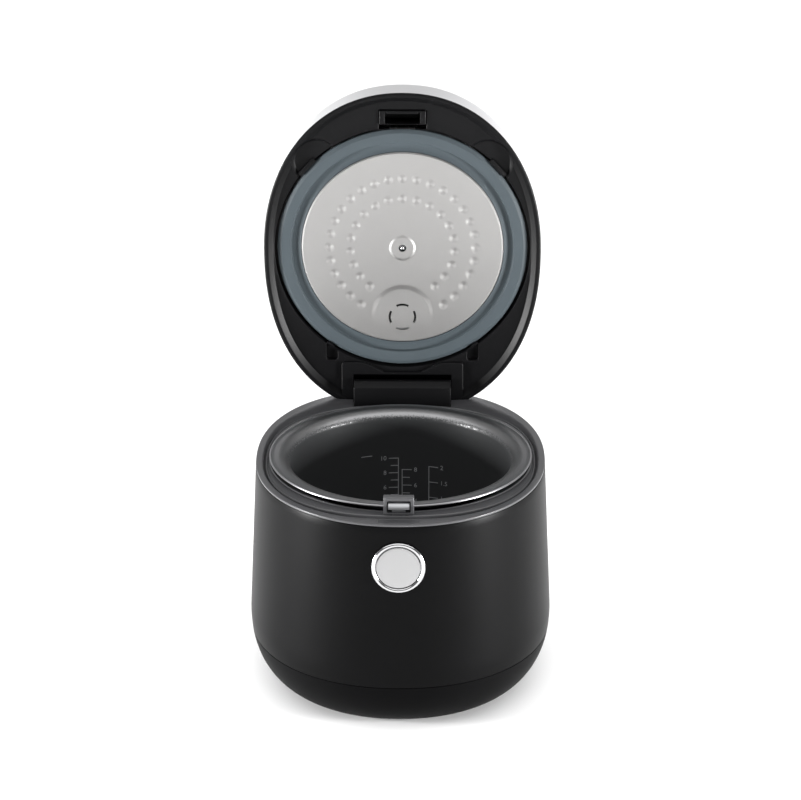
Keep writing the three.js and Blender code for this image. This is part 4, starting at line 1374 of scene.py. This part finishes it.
@dataclass
class LidTop:
    """The silver outer cover with its control panel and steam valve."""

    outline: Outline = Outline(128.3, 152.4, 164.5)
    height: float = 48.6
    foot: float = 2.1
    wall: float = 2.6
    crown: float = 40.0
    crown_power: float = 2.9
    vent: float = 66.0

    def inset(self, h: float) -> float:
        """How far the cover has drawn in at a height."""
        lift = max(0.0, (h - 16) / (self.height - 16))
        return self.crown * (1 - (1 - lift ** self.crown_power) ** (1 / self.crown_power))

    def cover(self, frame_part: LidFrame) -> None:
        """Moulds the cover, open at the hinge, the valve and the panel."""
        rise = 16 + (self.height - 16) * np.sin(np.linspace(0, math.pi / 2, 26))
        heights = [self.foot + 0.4, 8.0, 15.0, *[float(h) for h in rise]]
        outside = [self.outline.ring(self.inset(h), h) for h in heights]
        inner = [(self.inset(h) + self.wall, min(h, self.height - self.wall)) for h in (44, 39, 32, 24)]
        inside = [self.outline.ring(i, h) for i, h in inner]
        inside += [self.outline.ring(self.wall, self.foot), self.outline.ring(0.4, self.foot)]
        top = [outside[-1] * [1 - k / 5, 1 - k / 5, 1] for k in range(1, 5)]
        under = [np.column_stack([inside[0][:, :2] * (1 - k / 3), inside[0][:, 2]]) for k in (2, 1)]
        mesh = loft([*top[::-1], *outside[::-1], *inside[::-1], *under[::-1]])
        panel = prism(rounded_plan((-42.3, -104.3), (42.3, -35.7), 4), self.height - 1.2, 60)
        vent = moved(turned([(22.4, -10), (22.4, 70)], 64), 0, self.vent)
        mesh = cut(mesh, frame_part.rod(9.6, 46), frame_part.swept(frame_part.sweep, 46), vent, panel)
        dress("outer_cover", mesh, Station.LID, Surface.SILVER,
              Seat("lid", "lid_silver", ("lid_outer_cover",)))

    def panel(self) -> None:
        """Moulds the gloss panel, with its display window and touch rings."""
        top = self.height + 0.3
        slab = eased(prism(rounded_plan((-42, -104), (42, -36), 3.8), self.height - 0.9, top), 0.25, 2)
        dress("touch_panel", slab, Station.LID, Surface.GLOSS,
              Seat("lid", "panel_gloss", ("control_panel",)))
        band = [(5.0, top - 0.05), (5.0, top + 0.04), (4.5, top + 0.04), (4.5, top - 0.05)]
        rings = []
        for row in (-93.0, -78.0):
            ring = turned(band, SMALL_TURNS, looped=True)
            line = Tree.ROW.apply(ring, Surface.MARKING, Count=4, Step=(19.0, 0.0, 0.0))
            rings.append(moved(line, 0, row))
        outer = rounded_plan((-30, -66), (30, -42), 3)
        inner = rounded_plan((-29.5, -65.5), (29.5, -42.5), 2.6)
        frame_line = [np.array([(x, y, h) for x, y in plan])
                      for plan, h in ((outer, top - 0.05), (outer, top + 0.04),
                                      (inner, top + 0.04), (inner, top - 0.05))]
        dress("panel_print", merged(*rings, loft(frame_line, looped=True)), Station.LID,
              Surface.MARKING, Seat("lid", "panel_gloss"))

    def valve(self) -> None:
        """Moulds the steam valve's cap with its three slots."""
        profile = filleted([(11.1, 41), (11.1, 43.9), (21.9, 43.9), (21.9, 49.6), (20.6, 51.0),
                            (0, 51.4)], 0.8, 4)
        body = turned([(0, 41), *profile], 72)
        slot = prism(rounded_plan((-8, -1.2), (8, 1.2), 1.15), 40, 55)
        slots = Tree.ROW.apply(slot, Surface.DARK, Count=3, Step=(0.0, 6.0, 0.0))
        dress("valve_cap", moved(cut(body, slots), 0, self.vent), Station.LID, Surface.DARK,
              Seat("valve_cap", "cap_black", ("steam_valve_cap",)))

    def build(self, frame_part: LidFrame) -> None:
        """Builds the top of the lid."""
        self.cover(frame_part)
        self.panel()
        self.valve()


# ---------- what stays from the frame ----------


@dataclass
class CarriedOver:
    """The frame's own nodes that stay, mostly inside, each with a real finish."""

    finishes: dict[str, Surface] = field(default_factory=lambda: {
        "pot_well": Surface.GALVANISED, "heating_plate": Surface.ALUMINIUM,
        "chassis_plate": Surface.GALVANISED, "sensor_bracket": Surface.GALVANISED,
        "temperature_sensor": Surface.ALUMINIUM, "sensor_spring": Surface.STEEL,
        "power_board": Surface.BOARD, "transformer": Surface.DARK, "relay": Surface.DARK,
        "button_spring": Surface.STEEL, "hinge_spring": Surface.STEEL, "hinge_tray": Surface.FRAME,
        "lid_heater_plate": Surface.ALUMINIUM, "inner_lid_body": Surface.DARK,
        "steam_valve_body": Surface.DARK, "display_board": Surface.BOARD,
    })

    def build(self) -> None:
        """Gives each visible node its finish; any other gets the dark nylon."""
        for name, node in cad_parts.items():
            if node.hide_render:
                continue
            finish = self.finishes.get(name, Surface.DARK)
            node.data.materials.clear()
            node.data.materials.append(finish.material())
            LOG.info("%s: kept from the frame", name)


# ---------- studio ----------


@dataclass
class Studio:
    """A pale floor, soft lights and the camera."""

    distance: float = 4.09
    elevation: float = 22.2
    azimuth: float = 0.7
    lens: float = 202.2
    rim_height: float = 0.210
    lift: float = 0.0486  # how far above the pot's rim the picture's middle is
    floor_colour: str = "#f6f6f6"

    def camera(self) -> None:
        """Places the camera on the pot's rim, from in front and above."""
        e, a = math.radians(self.elevation), math.radians(self.azimuth)
        back = Vector((math.sin(a) * math.cos(e), -math.cos(a) * math.cos(e), math.sin(e)))
        side = Vector((math.cos(a), math.sin(a), 0))
        target = Vector((0, middle("inner_pot").y, self.rim_height)) + back.cross(side) * self.lift
        data = bpy.data.cameras.new("camera")
        data.lens, data.sensor_width = self.lens, 36
        data.clip_start, data.clip_end = 0.1, 100
        seat = bpy.data.objects.new("camera", data)
        seat.location = target + back * self.distance
        seat.rotation_mode = "QUATERNION"
        seat.rotation_quaternion = (-back).to_track_quat("-Z", "Y")
        bpy.context.scene.collection.objects.link(seat)
        bpy.context.scene.camera = seat

    def lamp(self, name: str, place: tuple[float, float, float], size: Pair, power: float,
             aim: tuple[float, float, float] = (0.0, 0.0, 0.15)) -> None:
        """Hangs a rectangular soft light.

        Args:
            name: The light's name.
            place: Where it hangs, in metres.
            size: Its width and height, in metres.
            power: Its output in watts.
            aim: What it faces.
        """
        data = bpy.data.lights.new(name, "AREA")
        data.shape, data.size, data.size_y, data.energy = "RECTANGLE", size[0], size[1], power
        seat = bpy.data.objects.new(name, data)
        seat.location = place
        seat.rotation_mode = "QUATERNION"
        seat.rotation_quaternion = (Vector(aim) - Vector(place)).to_track_quat("-Z", "Y")
        bpy.context.scene.collection.objects.link(seat)

    def overhead(self) -> None:
        """Hangs one wide light over everything, so that the floor is evenly pale."""
        data = bpy.data.lights.new("overhead", "SUN")
        data.energy, data.angle = 2.5, math.radians(100)
        bpy.context.scene.collection.objects.link(bpy.data.objects.new("overhead", data))

    def surroundings(self) -> None:
        """A pale world and floor."""
        world = bpy.data.worlds.new("studio")
        world.use_nodes = True
        world.node_tree.nodes.clear()
        place = add(world.node_tree, "ShaderNodeTexCoord")
        split = add(world.node_tree, "ShaderNodeSeparateXYZ", links={0: place.outputs["Generated"]})
        level = add(world.node_tree, "ShaderNodeMapRange", {
            "interpolation_type": "SMOOTHSTEP", "From Min": -0.6, "From Max": 0.6,
            "To Min": 0.14, "To Max": 0.6,
        }, {"Value": split.outputs["Y"]})
        sky = add(world.node_tree, "ShaderNodeBackground", {"Color": (1, 1, 1, 1)},
                  {"Strength": level.outputs[0]})
        add(world.node_tree, "ShaderNodeOutputWorld", links={0: sky.outputs[0]})
        bpy.context.scene.world = world
        floor = bpy.data.objects.new("floor", solid(
            np.array([(-20, -20, -0.002), (20, -20, -0.002), (20, 20, -0.002), (-20, 20, -0.002),
                      (-20, -20, 0), (20, -20, 0), (20, 20, 0), (-20, 20, 0)]),
            [(3, 2, 1, 0), (4, 5, 6, 7), (0, 1, 5, 4), (1, 2, 6, 5), (2, 3, 7, 6), (3, 0, 4, 7)]))
        paint = Finish("pale_painted_floor", self.floor_colour, self.floor_colour, 0.8, specular=0.1)
        floor.data.materials.append(paint.material())
        bpy.context.scene.collection.objects.link(floor)

    def build(self) -> None:
        """Sets up the studio."""
        bpy.context.scene.view_settings.view_transform = "Standard"
        self.camera()
        self.surroundings()
        self.lamp("left_softbox", (-1.45, -0.44, 0.24), (0.3, 0.44), 56)
        self.lamp("right_softbox", (1.45, -0.62, 0.24), (0.3, 0.44), 56)
        self.overhead()


def main() -> None:
    """Builds the cooker and its studio, piece by piece."""
    logging.basicConfig(level=logging.INFO, format="%(message)s")
    Studio().build()
    BodyShell().build()
    BaseFittings().build()
    InnerPot().build()
    Release().build()
    Hinge().build()
    frame_part = LidFrame()
    frame_part.build()
    InnerLid().build()
    LidTop().build(frame_part)
    CarriedOver().build()


if __name__ == "__main__":
    main()
